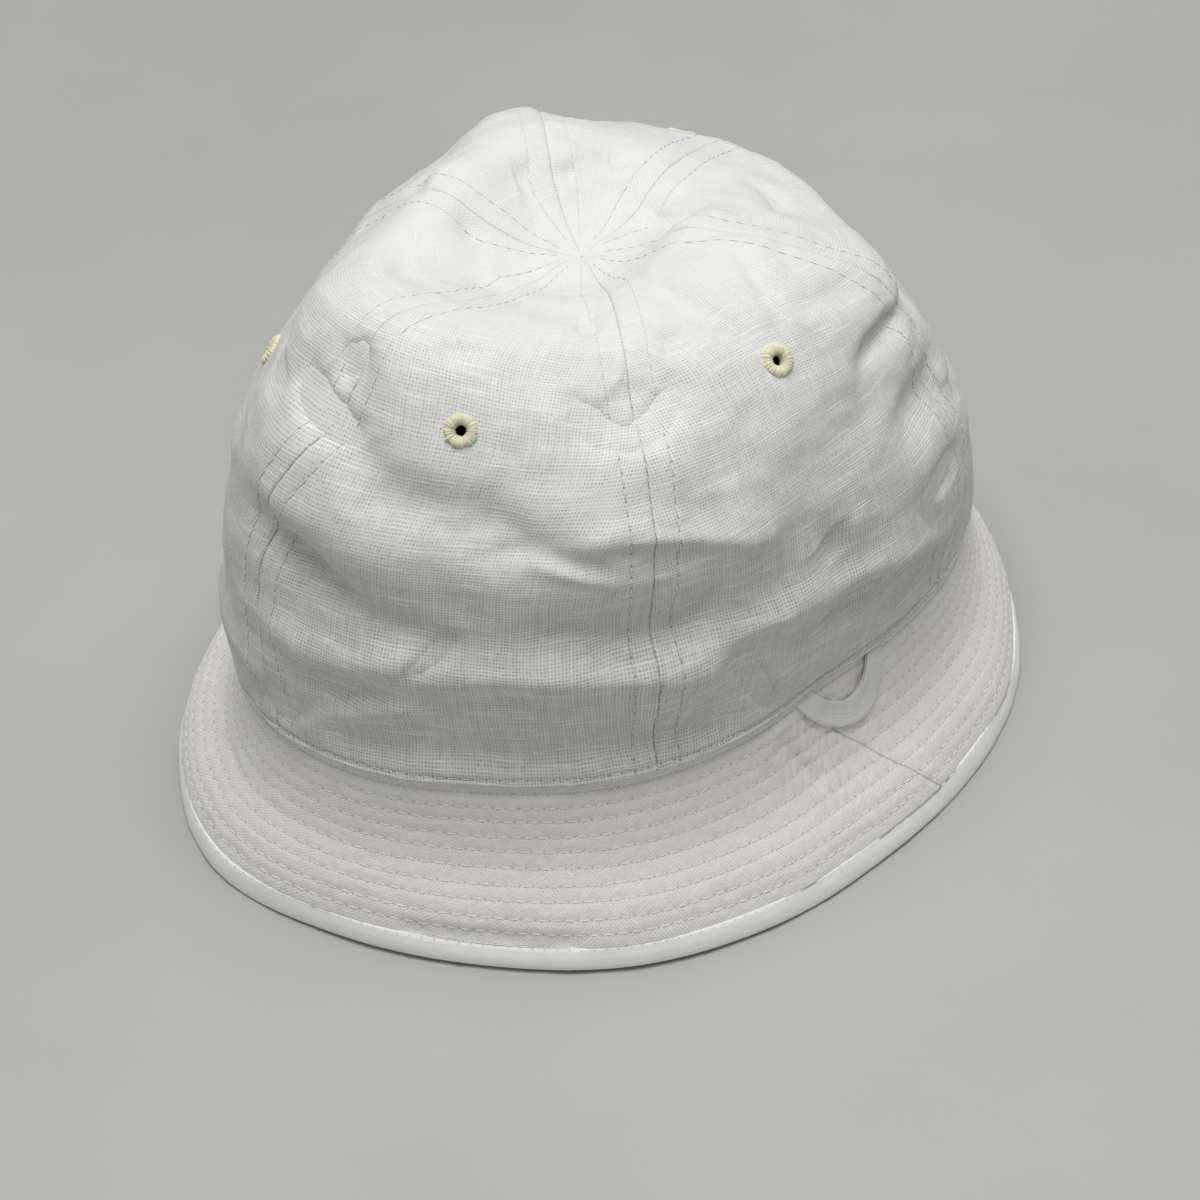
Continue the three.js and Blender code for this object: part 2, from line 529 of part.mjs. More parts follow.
function add(name, geometry, material) {
  geometry.computeVertexNormals();
  const mesh = new THREE.Mesh(geometry, material.clone());
  mesh.name = name;
  hat.add(mesh);
}

SEAM_NAMES.forEach((name, k) => {
  const panel = toSolid(panelBody(k)).subtract(toSolid(eyeletBody(EYELETS[k], GAP)));
  add(`crown_panel_${k + 1}`, fromSolid(panel), linen);
  add(`eyelet_${k + 1}`, eyeletBody(EYELETS[k], 0), thread);
});
add('brim', brimBody(), brimLinen);
add('brim_binding', bindingBody(), tape);
add('hanging_loop', loopBody(), linen);

export default hat;
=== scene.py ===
"""Soft linen hat of six panels with a short, row-stitched brim: the looks.
Lengths in the code are millimetres unless a name says otherwise; meshes are
written in metres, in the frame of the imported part. Azimuths are degrees round
the hat axis, 0 towards -Y, growing towards +X."""
import math

import bpy
import numpy as np
from mathutils import Matrix, Vector


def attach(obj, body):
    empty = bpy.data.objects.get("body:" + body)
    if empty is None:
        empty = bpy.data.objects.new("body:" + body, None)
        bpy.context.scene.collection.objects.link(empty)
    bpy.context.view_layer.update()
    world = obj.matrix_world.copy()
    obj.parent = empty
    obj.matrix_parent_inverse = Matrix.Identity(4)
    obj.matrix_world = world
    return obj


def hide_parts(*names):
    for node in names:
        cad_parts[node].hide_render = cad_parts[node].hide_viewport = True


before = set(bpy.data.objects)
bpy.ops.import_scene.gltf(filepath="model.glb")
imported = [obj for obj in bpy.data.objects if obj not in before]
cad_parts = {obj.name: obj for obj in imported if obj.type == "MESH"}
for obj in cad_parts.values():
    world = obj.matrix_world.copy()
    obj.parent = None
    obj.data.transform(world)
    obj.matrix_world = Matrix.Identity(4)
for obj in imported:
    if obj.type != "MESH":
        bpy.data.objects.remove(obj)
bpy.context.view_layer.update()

MM = 0.001

# ------------------------------------------------------------ driving sizes
SEAM_Z = 48.0
AXIS_X, AXIS_Y = 3.23, -0.05
CLOTH = 1.2
BRIM_WALL = 1.8
BRIM_EDGE_WALL = 1.4
BIND_WALL = 1.0
BIND_TOP = 0.872
BIND_PROUD = 0.4
GAP = 0.3
MERIDIAN = 187.0
ROUND = 94.0
BRIM_LENGTH = 52.0
BRIM_SET_IN = CLOTH + GAP + 0.1
STITCH = 3.3            # machine stitch
TOPSTITCH = 5.8         # from a seam to the stitch row beside it
HEM_STITCH = 2.0        # from the crown's edge to its stitch row
STITCHES_ROUND = 187    # stitches in one row round the brim
ROW_SHIFT = 0.37        # how far one row's stitches lie beside the next row's


def columns(names, *rows):
    """A short table: dictionary of column arrays."""
    return dict(zip(names.split(), np.array(rows, float).T))


AROUND = columns(
    "az ring flare wall upper out lift ridge",
    (0, 90.0, 16.6, 0.4, 3.6, -0.7, -3.0, -3.2),
    (20, 84.0, 18.3, 2.4, 3.9, 0.6, -4.1, -1.6),
    (40, 79.0, 20.1, 4.5, 3.3, 2.9, -4.3, 0.4),
    (60, 83.5, 17.7, 5.4, 1.3, 5.1, -6.9, 1.5),
    (80, 91.4, 15.0, 0.7, -4.9, 3.2, -11.3, 0.1),
    (100, 98.5, 12.5, -5.5, -17.2, -6.9, -14.9, -2.5),
    (120, 104.0, 12.5, -7.3, -22.5, -11.0, -16.6, -4.8),
    (140, 102.7, 15.0, -4.8, -15.3, -10.1, -16.2, -4.7),
    (160, 95.8, 16.5, -1.5, -6.7, -8.0, -13.9, -2.8),
    (180, 88.2, 16.5, 0.3, -1.7, -5.2, -9.5, 0.2),
    (200, 83.3, 16.5, 0.6, -0.7, -4.7, -6.6, 2.5),
    (220, 81.9, 17.0, -0.1, -3.6, -4.8, -9.6, 3.9),
    (240, 84.2, 18.5, -1.7, -9.3, -5.2, -10.3, 5.2),
    (260, 90.2, 21.5, -3.5, -11.6, -9.0, -9.3, 3.6),
    (280, 97.0, 20.8, -3.6, -9.6, -9.0, -3.4, -0.3),
    (300, 104.3, 17.1, -3.6, -4.7, -6.6, 5.2, -3.9),
    (320, 101.9, 12.6, -3.8, -1.3, -3.5, 6.6, -4.6),
    (340, 94.4, 14.7, -1.9, 1.4, -1.6, 2.0, -3.6),
)

CROWN = columns(
    "up share z",
    (0.0, 1.00, 48), (0.1, 1.02, 67), (0.2, 1.02, 86), (0.3, 1.00, 104),
    (0.4, 0.95, 121), (0.5, 0.86, 138), (0.6, 0.73, 151.5), (0.7, 0.54, 155.5),
    (0.8, 0.34, 151), (0.9, 0.16, 142.3), (1.0, 0.00, 138.8),
)

BRIM = columns(
    "down out drop",
    (0.0, 0.00, 0.00), (0.1, 0.00, 0.10), (0.2, 0.03, 0.21), (0.3, 0.09, 0.31),
    (0.4, 0.18, 0.41), (0.5, 0.31, 0.50), (0.6, 0.50, 0.58), (0.7, 0.68, 0.66),
    (0.8, 0.83, 0.76), (0.9, 0.94, 0.88), (1.0, 1.00, 1.00),
)

# azimuths of the six seams by height
SEAMS = columns(
    "up front right back_right back back_left left",
    (0.000, 5.5, 71.5, 128.0, 185.0, 248.0, 307.0),
    (0.125, 6.2, 73.4, 129.5, 185.2, 248.0, 305.6),
    (0.250, 6.4, 75.0, 131.5, 185.5, 248.0, 305.3),
    (0.375, 7.2, 76.0, 134.5, 186.0, 247.6, 307.6),
    (0.500, 7.6, 76.2, 139.0, 187.0, 247.4, 315.4),
    (0.625, 7.8, 74.0, 144.0, 188.4, 248.4, 317.0),
    (0.750, 9.3, 68.5, 141.0, 190.5, 253.0, 321.6),
    (0.875, 11.8, 64.0, 136.0, 195.0, 262.5, 315.0),
    (1.000, 14.0, 61.0, 132.0, 199.0, 268.0, 308.0),
)
SEAM_NAMES = ("front", "right", "back_right", "back", "back_left", "left")

EYELETS = columns("az up", (40.0, 0.545), (101.0, 0.50), (156.5, 0.52), (216.5, 0.46), (277.0, 0.43), (337.0, 0.522))

# Folds of the crown. Each runs along a curve through three places; deep is how far it
# stands out (+) or dips in (-), above and below how wide it is on its two sides.
# FOLDS are in the part's solids too, CREASES only here.
FOLDS = columns(
    "az0 up0 az1 up1 az2 up2 above below deep",
    (2, 0.585, 6, 0.570, 12, 0.585, 7, 8, -2.6),          # pocket above the V on the front seam
    (3, 0.500, 8, 0.493, 13, 0.505, 8, 10, 0.8),         # lip below the V
    (-50, 0.545, -46, 0.532, -40, 0.520, 7, 8, -2.0),     # pocket above the left crescent
    (-60, 0.45, -52, 0.44, -45, 0.43, 7, 9, 2.0),         # swelling below it
    (-38, 0.485, -35, 0.455, -31, 0.435, 6, 8, -2.0),
    (-32, 0.430, -22, 0.432, -10, 0.405, 5.5, 8, -2.6),   # long dip across the left front
    (-54, 0.335, -49, 0.318, -43, 0.295, 6, 8.5, -6.6),   # deep dent at the left
    (-43, 0.295, -34, 0.266, -24, 0.243, 4.5, 7, -3.0),
    (-52, 0.41, -42, 0.385, -30, 0.36, 9, 7, 1.8),        # swelling above it
    (-50, 0.178, -38, 0.180, -26, 0.222, 6, 4.5, 2.6),    # ridges round the lower front
    (-28, 0.176, -10, 0.194, 13, 0.160, 7, 5, 3.4),
    (-40, 0.045, -12, 0.048, 16, 0.040, 13, 7, -3.8),     # tuck above the crown's edge
    (-4, 0.226, 10, 0.222, 27, 0.228, 13, 6.5, -6.0),     # hollow across the front seam
    (-2, 0.405, 9, 0.392, 26, 0.328, 6, 4.5, 2.2),        # its upper lip
    (14, 0.204, 27, 0.195, 42, 0.166, 6.5, 5, 2.6),       # its lower lip
    (39, 0.272, 40, 0.250, 41, 0.222, 5.5, 5.5, -3.6),
    (42, 0.184, 53, 0.167, 68, 0.122, 5, 4.5, 2.0),
    (40, 0.142, 54, 0.124, 70, 0.075, 4.5, 7, -2.6),
    (62, 0.342, 70, 0.345, 80, 0.332, 5.5, 7, -4.0),
    (58, 0.478, 68, 0.490, 80, 0.476, 4.5, 6, -3.0),
    (44, 0.445, 50, 0.430, 57, 0.422, 6, 9, -1.0),
    (-18, 0.583, -10, 0.600, 0, 0.630, 6, 6, -1.2),
    (27, 0.775, 30, 0.685, 35, 0.608, 4.5, 5.5, -2.2),
    (54, 0.600, 62, 0.603, 70, 0.598, 4.5, 6, -1.6),
    (66, 0.835, 78, 0.818, 92, 0.800, 5, 7, 2.8),
    (163, 0.602, 171, 0.598, 179, 0.603, 9, 9, -3.0),     # step in the outline at the back
    (188, 0.612, 197, 0.613, 205, 0.602, 9, 9, 2.2),
    (206, 0.845, 212, 0.840, 219, 0.835, 6, 6, -2.0),
    (264, 0.838, 271, 0.835, 279, 0.833, 6, 6, -1.8),
    (140, 0.35, 155, 0.34, 170, 0.30, 10, 16, -2.4),      # sides and back
    (205, 0.25, 220, 0.27, 235, 0.33, 10, 15, -2.4),
    (84, 0.46, 93, 0.43, 104, 0.42, 5, 9, -2.4),
    (92, 0.25, 102, 0.22, 114, 0.235, 6, 10, -2.8),
    (108, 0.14, 120, 0.12, 138, 0.145, 5, 4.5, 1.9),
    (132, 0.20, 146, 0.19, 160, 0.215, 5, 8, -2.2),
    (176, 0.46, 188, 0.44, 204, 0.455, 5, 9, -2.6),
    (172, 0.17, 186, 0.155, 206, 0.16, 6, 4.5, 2.2),
    (226, 0.45, 238, 0.42, 252, 0.41, 5, 9, -2.6),
    (246, 0.21, 258, 0.185, 276, 0.20, 5, 9, -2.9),
    (262, 0.33, 272, 0.345, 286, 0.32, 7, 5, 1.9),
    (280, 0.09, 292, 0.105, 304, 0.085, 5, 4.5, 1.6),
)

CREASES = columns(
    "az0 up0 az1 up1 az2 up2 above below deep",
    (-3, 0.574, 0.5, 0.549, 5, 0.529, 3.1, 4.8, -3.2),  # left and right wing of the V
    (6.5, 0.529, 11, 0.544, 15.5, 0.570, 3.1, 4.8, -2.9),
    (-54, 0.515, -48, 0.499, -41, 0.486, 3.0, 4.4, -3.4), # left crescent
    (-47, 0.562, -45.5, 0.560, -44, 0.558, 4.5, 4.5, -3.2),
    (-29.5, 0.186, -26.5, 0.213, -23.5, 0.242, 2.6, 2.8, -2.0),
    (-53, 0.020, -50, 0.050, -45, 0.083, 3.0, 3.6, -2.6),
    (-48, 0.045, -39, 0.095, -30, 0.120, 4, 3.4, 2.0),
    (-58, 0.055, -55, 0.062, -51, 0.083, 4, 5, -1.8),
    (-47, 0.122, -42, 0.130, -36, 0.135, 3.4, 4, -2.2),
    (20, 0.150, 23.5, 0.088, 28, 0.020, 3.5, 3.6, -3.4),
    (31, 0.120, 36, 0.145, 44, 0.132, 3.6, 5, -1.6),
    (52, 0.075, 57, 0.078, 62, 0.070, 3.2, 4, -1.6),
    (42, 0.150, 54, 0.134, 69, 0.085, 2.0, 3.6, -0.9),
    (60, 0.484, 68, 0.497, 78, 0.484, 2.2, 3.5, -1.6),
    (62, 0.228, 67, 0.230, 73, 0.222, 3.6, 4.6, -2.8),
    (59, 0.228, 61.5, 0.195, 64, 0.155, 3.6, 3.6, -1.8),
    (0, 0.738, 0, 0.715, 0, 0.695, 2.8, 2.8, -2.2),
    (3, 0.105, 7, 0.100, 11, 0.100, 3, 2.6, 0.9),
    (12, 0.048, 16, 0.030, 20, 0.020, 3, 3.6, -1.2),
    (-2, 0.400, 9, 0.387, 26, 0.322, 2.6, 1.8, 0.8),      # sharp edge over the hollow
    (-10, 0.370, -4.5, 0.355, 1, 0.338, 1.9, 1.9, 0.8),
    (-18, 0.383, -14, 0.390, -10, 0.398, 2.6, 3.6, -1.1),
    (-7, 0.383, -3.5, 0.375, 0, 0.365, 2.6, 2.6, -1.1),
    (-10, 0.262, -5, 0.260, -1, 0.255, 3.4, 3.6, -1.5),
    (20, 0.258, 22, 0.236, 24, 0.214, 2.6, 2.6, 0.8),
    (180, 0.843, 183, 0.842, 187, 0.842, 3, 3, -1.4),     # top
    (155, 0.802, 159, 0.802, 164, 0.804, 4, 4, -1.4),
    (144, 0.855, 148, 0.855, 153, 0.858, 2.6, 3, -1.0),
    (132, 0.862, 112, 0.868, 99, 0.825, 2.6, 3.6, -1.8),
    (300, 0.825, 305, 0.825, 311, 0.828, 4, 4, -1.4),
    (58, 0.730, 50, 0.662, 44, 0.568, 2.2, 2.4, -1.1),
    (17, 0.645, 21, 0.640, 26, 0.632, 4, 5.5, -1.5),
    (-31, 0.610, -27, 0.614, -23, 0.618, 3.2, 4.2, -1.2),
    (286, 0.74, 296, 0.72, 305, 0.73, 3, 4, -1.2),
    (228, 0.72, 240, 0.70, 250, 0.72, 3, 5, -1.4),
    (96, 0.70, 106, 0.685, 116, 0.70, 3, 5, -1.4),
    (78, 0.30, 84, 0.27, 92, 0.27, 2.6, 4.5, -1.6),
    (112, 0.40, 119, 0.375, 128, 0.38, 2.4, 4.2, -1.5),
    (150, 0.44, 158, 0.43, 168, 0.45, 2.4, 4.2, -1.4),
    (196, 0.33, 206, 0.31, 214, 0.32, 2.4, 4.2, -1.5),
    (238, 0.30, 247, 0.285, 254, 0.30, 2.4, 4.2, -1.5),
    (284, 0.53, 292, 0.50, 301, 0.49, 2.6, 4.6, -2.0),
    (256, 0.54, 264, 0.52, 271, 0.53, 2.6, 4.2, -1.5),
)

# edges of the hanging loop's strip, from one end to the other
LOOP = columns(
    "az_out down_out az_in down_in",
    (32.8, 0.012, 37.6, 0.012), (34.6, 0.100, 39.2, 0.085), (37.0, 0.190, 41.5, 0.145), (40.0, 0.275, 43.6, 0.183),
    (43.5, 0.330, 45.6, 0.204), (46.8, 0.347, 47.4, 0.196), (49.8, 0.330, 48.8, 0.165), (52.0, 0.275, 49.9, 0.122),
    (53.8, 0.185, 50.8, 0.080), (55.1, 0.095, 51.6, 0.040), (55.8, 0.012, 52.0, 0.012),
)

ROWS = np.array([0.07, 0.15, 0.23, 0.32, 0.40, 0.49, 0.58, 0.66, 0.75, 0.82])   # brim stitch rows
JOIN = columns("az down", (36, 0.0), (42, 0.34), (46, 0.48), (49, 0.64), (52, 0.78), (54, 0.86), (58, 0.98))


# ------------------------------------------------------------ smooth shapes
def cubic(p0, p1, p2, p3, t):
    return 0.5 * (2 * p1 + (p2 - p0) * t + (2 * p0 - 5 * p1 + 4 * p2 - p3) * t * t + (3 * p1 - p0 - 3 * p2 + p3) * t ** 3)


def around(column, az):
    v = AROUND[column]
    n = len(v)
    x = np.mod(az, 360.0) / (360.0 / n)
    i = np.floor(x).astype(int)
    return cubic(v[(i - 1) % n], v[i % n], v[(i + 1) % n], v[(i + 2) % n], x - i)


def along(table, column, s):
    v = table[column]
    padded = np.concatenate([[2 * v[0] - v[1]], v, [2 * v[-1] - v[-2]]])
    last = len(v) - 1
    x = np.clip(np.asarray(s, float) * last, 0, last - 1e-9)
    i = np.floor(x).astype(int)
    return cubic(padded[i], padded[i + 1], padded[i + 2], padded[i + 3], x - i)


def bump(s, middle, half):
    t = np.minimum(np.abs(s - middle) / half, 1)
    return (1 - t * t) ** 2


def smooth(x):
    t = np.clip(x, 0, 1)
    return t * t * (3 - 2 * t)


def turned(r, z, az):
    a = np.radians(az)
    return np.stack([AXIS_X + r * np.sin(a), AXIS_Y - r * np.cos(a), z + 0 * a], -1)


def unit(v):
    return v / np.maximum(np.linalg.norm(v, axis=-1, keepdims=True), 1e-12)


def crown_plain(az, up):
    even = smooth((1 - up) / 0.35)
    r = ((around("ring", az) * even + ROUND * (1 - even)) * along(CROWN, "share", up)
         + around("wall", az) * bump(up, 0.2, 0.2)
         + around("upper", az) * bump(up, 0.4, 0.22)
         + around("out", az) * bump(up, 0.6, 0.22))
    z = along(CROWN, "z", up) + around("lift", az) * bump(up, 0.6, 0.24) + around("ridge", az) * bump(up, 0.78, 0.2)
    return turned(r, z, az)


def fold_depth(az, up, table=FOLDS):
    az, up = np.broadcast_arrays(np.asarray(az, float), np.asarray(up, float))
    depth = np.zeros(az.shape)
    share = np.linspace(0, 1, 7)
    for az0, up0, az1, up1, az2, up2, above, below, deep in zip(*table.values()):
        r = ROUND * float(along(CROWN, "share", up1))
        a = np.mod(az - az1 + 180, 360) - 180 + az1
        reach = 2.6 * max(above, below)
        lo_az, hi_az = min(az0, az1, az2) - math.degrees(reach / r), max(az0, az1, az2) + math.degrees(reach / r)
        lo_up, hi_up = min(up0, up1, up2) - reach / MERIDIAN, max(up0, up1, up2) + reach / MERIDIAN
        near = (a > lo_az) & (a < hi_az) & (up > lo_up) & (up < hi_up)
        if not near.any():
            continue
        px, py = np.radians(a[near]) * r, up[near] * MERIDIAN
        # curve through the three places
        x0, x1, x2 = [math.radians(v) * r for v in (az0, az1, az2)]
        y0, y1, y2 = up0 * MERIDIAN, up1 * MERIDIAN, up2 * MERIDIAN
        cx = x0 * (1 - share) * (1 - 2 * share) + 4 * x1 * share * (1 - share) + x2 * share * (2 * share - 1)
        cy = y0 * (1 - share) * (1 - 2 * share) + 4 * y1 * share * (1 - share) + y2 * share * (2 * share - 1)
        best = np.full(px.shape, 1e9)
        lean, place = np.zeros(px.shape), np.zeros(px.shape)
        for k in range(len(share) - 1):
            dx, dy = cx[k + 1] - cx[k], cy[k + 1] - cy[k]
            t = np.clip(((px - cx[k]) * dx + (py - cy[k]) * dy) / (dx * dx + dy * dy), 0, 1)
            ox, oy = px - cx[k] - t * dx, py - cy[k] - t * dy
            away = np.hypot(ox, oy)
            closer = away < best
            best = np.where(closer, away, best)
            lean = np.where(closer, (dx * oy - dy * ox) / (math.hypot(dx, dy) * np.maximum(away, 1e-6)), lean)
            place = np.where(closer, (k + t) / (len(share) - 1), place)
        wide = below + (above - below) * (0.5 + 0.5 * lean)
        fade = 1 - 0.5 * np.abs(2 * place - 1) ** 3
        edge = smooth((2.6 - best / wide) / 0.5)
        depth[near] += deep * fade * np.exp(-((best / wide) ** 2)) * edge
    return depth * smooth(up / 0.05)


def normal_of(surface, az, s, d_az=0.4, d_s=0.004):
    lo, hi = np.maximum(s - d_s, 0), np.minimum(s + d_s, 1)
    return unit(np.cross(surface(az + d_az, s) - surface(az - d_az, s), surface(az, hi) - surface(az, lo)))


def crown_outside(az, up):
    n = normal_of(crown_plain, az, np.minimum(up, 0.985))
    return crown_plain(az, up) + n * fold_depth(az, up)[..., None]


def crown_normal(az, up):
    n = normal_of(crown_outside, az, np.minimum(up, 0.98))
    n[..., 2] *= smooth(up / 0.06)
    return unit(n)


def brim_outside(az, down):
    flare = around("flare", az) + BRIM_SET_IN
    out = along(BRIM, "out", down)
    r = around("ring", az) - BRIM_SET_IN + flare * out + (BRIM_SET_IN - 0.7) * smooth(down / 0.12) * (1 - out)
    return turned(r, SEAM_Z * (1 - along(BRIM, "drop", down)), az)


def brim_normal(az, down):
    return -normal_of(brim_outside, az, down)


def edge_at(az, z, offset):
    p = brim_outside(az, 1 - z / SEAM_Z * (0.1 / 0.12))
    n = brim_normal(az, np.full(np.shape(az), 0.97))
    n[..., 2] = 0
    p = p + unit(n) * np.asarray(offset)[..., None]
    p[..., 2] = z
    return p


# ------------------------------------------------------------- seeded noise
def lattice(ix, iy, iz, seed):
    h = (ix * 374761393 + iy * 668265263 + iz * 2147483647 + seed * 1274126177) & 0xFFFFFFFF
    h = ((h ^ (h >> 13)) * 1103515245) & 0xFFFFFFFF
    h = ((h ^ (h >> 16)) * 2654435761) & 0xFFFFFFFF
    return ((h ^ (h >> 15)) & 0xFFFFFF) / float(0xFFFFFF) * 2 - 1


def noise(x, y, z=0.0, seed=0):
    """Smooth random height, about -1 to 1, with a wavelength of about 2."""
    x, y, z = np.broadcast_arrays(np.asarray(x, float), np.asarray(y, float), np.asarray(z, float))
    ix, iy, iz = [np.floor(v).astype(np.int64) for v in (x, y, z)]
    fx, fy, fz = x - ix, y - iy, z - iz
    wx, wy, wz = [f * f * f * (f * (f * 6 - 15) + 10) for f in (fx, fy, fz)]
    total = 0
    for a in (0, 1):
        for b in (0, 1):
            for c in (0, 1):
                w = (wx if a else 1 - wx) * (wy if b else 1 - wy) * (wz if c else 1 - wz)
                total = total + w * lattice(ix + a, iy + b, iz + c, seed)
    return total


def noise_at(p, size, seed):
    return noise(p[..., 0] / size, p[..., 1] / size, p[..., 2] / size, seed)


def crumple(p):
    """Small wrinkles of the washed linen at points in space."""
    soft = 0.75 * noise_at(p, 19, 1) + 0.42 * noise_at(p, 10.5, 2)
    pinch = 0.55 * (0.5 - np.abs(noise_at(p, 13, 3))) + 0.30 * (0.5 - np.abs(noise_at(p, 7.5, 4)))
    return soft + pinch + 0.10 * noise_at(p, 4.2, 5)


# ------------------------------------------------------------------- meshes
def piece(name, points, faces, material, uvs=None, replaces=()):
    mesh = bpy.data.meshes.new(name)
    mesh.from_pydata((np.asarray(points) * MM).tolist(), [], faces)
    for layer, uv in (uvs or {}).items():
        data = mesh.uv_layers.new(name=layer)
        corner = np.zeros(len(mesh.loops), np.int32)
        mesh.loops.foreach_get("vertex_index", corner)
        data.data.foreach_set("uv", np.asarray(uv, np.float32)[corner].ravel())
    mesh.polygons.foreach_set("use_smooth", np.ones(len(mesh.polygons), bool))
    mesh.materials.append(material)
    mesh.validate()
    obj = bpy.data.objects.new(name, mesh)
    bpy.context.scene.collection.objects.link(obj)
    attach(obj, "root")
    if replaces:
        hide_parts(*replaces)
    return obj


def grid_faces(rows, cols, base=0, close=False, flip=False):
    """Quads of a grid of vertices numbered row by row; close joins the last column to the first."""
    i, j = np.meshgrid(np.arange(rows - 1), np.arange(cols if close else cols - 1), indexing="ij")
    k = (j + 1) % cols
    quads = np.stack([i * cols + j, i * cols + k, (i + 1) * cols + k, (i + 1) * cols + j], -1).reshape(-1, 4) + base
    return quads[:, ::-1] if flip else quads


# ---------------------------------------------------------------- materials
class Look:
    """A node material that is put together with short calls."""

    def __init__(self, name, roughness=0.9, sheen=0.0):
        self.mat = bpy.data.materials.new(name)
        self.mat.use_nodes = True
        self.nodes = self.mat.node_tree.nodes
        self.links = self.mat.node_tree.links
        self.surface = self.nodes["Principled BSDF"]
        self.surface.inputs["Roughness"].default_value = roughness
        self.surface.inputs["Specular IOR Level"].default_value = 0.25
        self.surface.inputs["Sheen Weight"].default_value = sheen
        self.surface.inputs["Sheen Roughness"].default_value = 0.5

    def put(self, socket, value):
        if isinstance(value, bpy.types.NodeSocket):
            self.links.new(value, socket)
        else:
            socket.default_value = value

    def math(self, operation, a, b=None, c=None, clamp=False):
        node = self.nodes.new("ShaderNodeMath")
        node.operation = operation
        node.use_clamp = clamp
        for socket, value in zip(node.inputs, (a, b, c)):
            if value is not None:
                self.put(socket, value)
        return node.outputs[0]

    def add(self, a, b):
        return self.math("ADD", a, b)

    def times(self, a, b):
        return self.math("MULTIPLY", a, b)

    def step(self, value, low, high):
        """0 below low, 1 above high, smooth between; low may be the larger."""
        node = self.nodes.new("ShaderNodeMapRange")
        node.interpolation_type = "SMOOTHSTEP"
        self.put(node.inputs["Value"], value)
        flipped = low > high
        node.inputs["From Min"].default_value = min(low, high)
        node.inputs["From Max"].default_value = max(low, high)
        node.inputs["To Min"].default_value = 1.0 if flipped else 0.0
        node.inputs["To Max"].default_value = 0.0 if flipped else 1.0
        return node.outputs["Result"]

    def uv(self, layer):
        node = self.nodes.new("ShaderNodeUVMap")
        node.uv_map = layer
        split = self.nodes.new("ShaderNodeSeparateXYZ")
        self.links.new(node.outputs[0], split.inputs[0])
        return split.outputs[0], split.outputs[1]

    def vector(self, x, y, z=0.0):
        node = self.nodes.new("ShaderNodeCombineXYZ")
        for socket, value in zip(node.inputs, (x, y, z)):
            self.put(socket, value)
        return node.outputs[0]

    def noise(self, vector, scale=1.0, detail=2.0, rough=0.5):
        node = self.nodes.new("ShaderNodeTexNoise")
        self.links.new(vector, node.inputs["Vector"])
        node.inputs["Scale"].default_value = scale
        node.inputs["Detail"].default_value = detail
        node.inputs["Roughness"].default_value = rough
        return node.outputs["Fac"]

    def place(self):
        return self.nodes.new("ShaderNodeTexCoord").outputs["Object"]

    def mix(self, share, a, b):
        node = self.nodes.new("ShaderNodeMix")
        node.data_type = "RGBA"
        self.put(node.inputs[0], share)
        for socket, value in ((node.inputs[6], a), (node.inputs[7], b)):
            self.put(socket, (*value, 1.0) if isinstance(value, tuple) else value)
        return node.outputs[2]

    def finish(self, colour, height=None, distance=0.0002, strength=0.5):
        self.put(self.surface.inputs["Base Color"], colour)
        if height is not None:
            node = self.nodes.new("ShaderNodeBump")
            node.inputs["Distance"].default_value = distance
            node.inputs["Strength"].default_value = strength
            self.links.new(height, node.inputs["Height"])
            self.links.new(node.outputs[0], self.surface.inputs["Normal"])
        return self.mat


def weave(look, x, y, pitch, wobble=0.3):
    """Plain weave at x, y in millimetres: (gap, slub, height) sockets."""
    at = look.vector(x, y)
    shift_x = look.times(look.add(look.noise(at, 0.055, 2.0), -0.5), 2 * wobble * 4)
    shift_y = look.times(look.add(look.noise(look.vector(y, x, 7.0), 0.05, 2.0), -0.5), 2 * wobble * 4)
    u = look.times(look.add(x, shift_x), 1 / pitch)
    v = look.times(look.add(y, shift_y), 1 / pitch)
    sin_u = look.math("SINE", look.times(u, math.pi))
    sin_v = look.math("SINE", look.times(v, math.pi))
    su, sv = look.math("ABSOLUTE", sin_u), look.math("ABSOLUTE", sin_v)
    hole = look.times(look.math("SUBTRACT", 1.0, su), look.math("SUBTRACT", 1.0, sv))
    lines = look.times(look.add(look.math("POWER", look.math("SUBTRACT", 1.0, su), 2.0),
                                look.math("POWER", look.math("SUBTRACT", 1.0, sv), 2.0)), 0.5)
    # holes are open to a different degree, and more so in some patches
    each = look.nodes.new("ShaderNodeTexWhiteNoise")
    each.noise_dimensions = "2D"
    cell = look.vector(look.math("FLOOR", look.add(u, 0.5)), look.math("FLOOR", look.add(v, 0.5)))
    look.links.new(cell, each.inputs["Vector"])
    patchy = look.step(look.noise(at, 0.16, 3.0, 0.65), 0.36, 0.66)
    open_by = look.add(0.32, look.times(each.outputs["Value"], look.add(look.times(patchy, 0.75), 0.40)))
    gap = look.add(look.times(hole, open_by), look.times(lines, 0.17))
    # threads thicker and lighter here and there, most of them across
    thread_u = look.noise(look.vector(u, look.times(y, 0.05)), 0.9, 1.0, 0.4)
    thread_v = look.noise(look.vector(look.times(x, 0.09), look.times(v, 1.6), 3.0), 0.9, 1.0, 0.4)
    slub_v = look.add(look.times(look.step(thread_v, 0.30, 0.75), 0.7), look.times(look.step(thread_v, 0.62, 0.72), 2.2))
    slub = look.add(look.step(thread_u, 0.28, 0.80), slub_v)
    checker = look.times(sin_u, sin_v)
    height = look.add(look.times(look.add(look.math("POWER", su, 0.6), look.math("POWER", sv, 0.6)), 0.5),
                      look.add(look.times(checker, 0.22), look.times(slub, 0.25)))
    return gap, slub, height


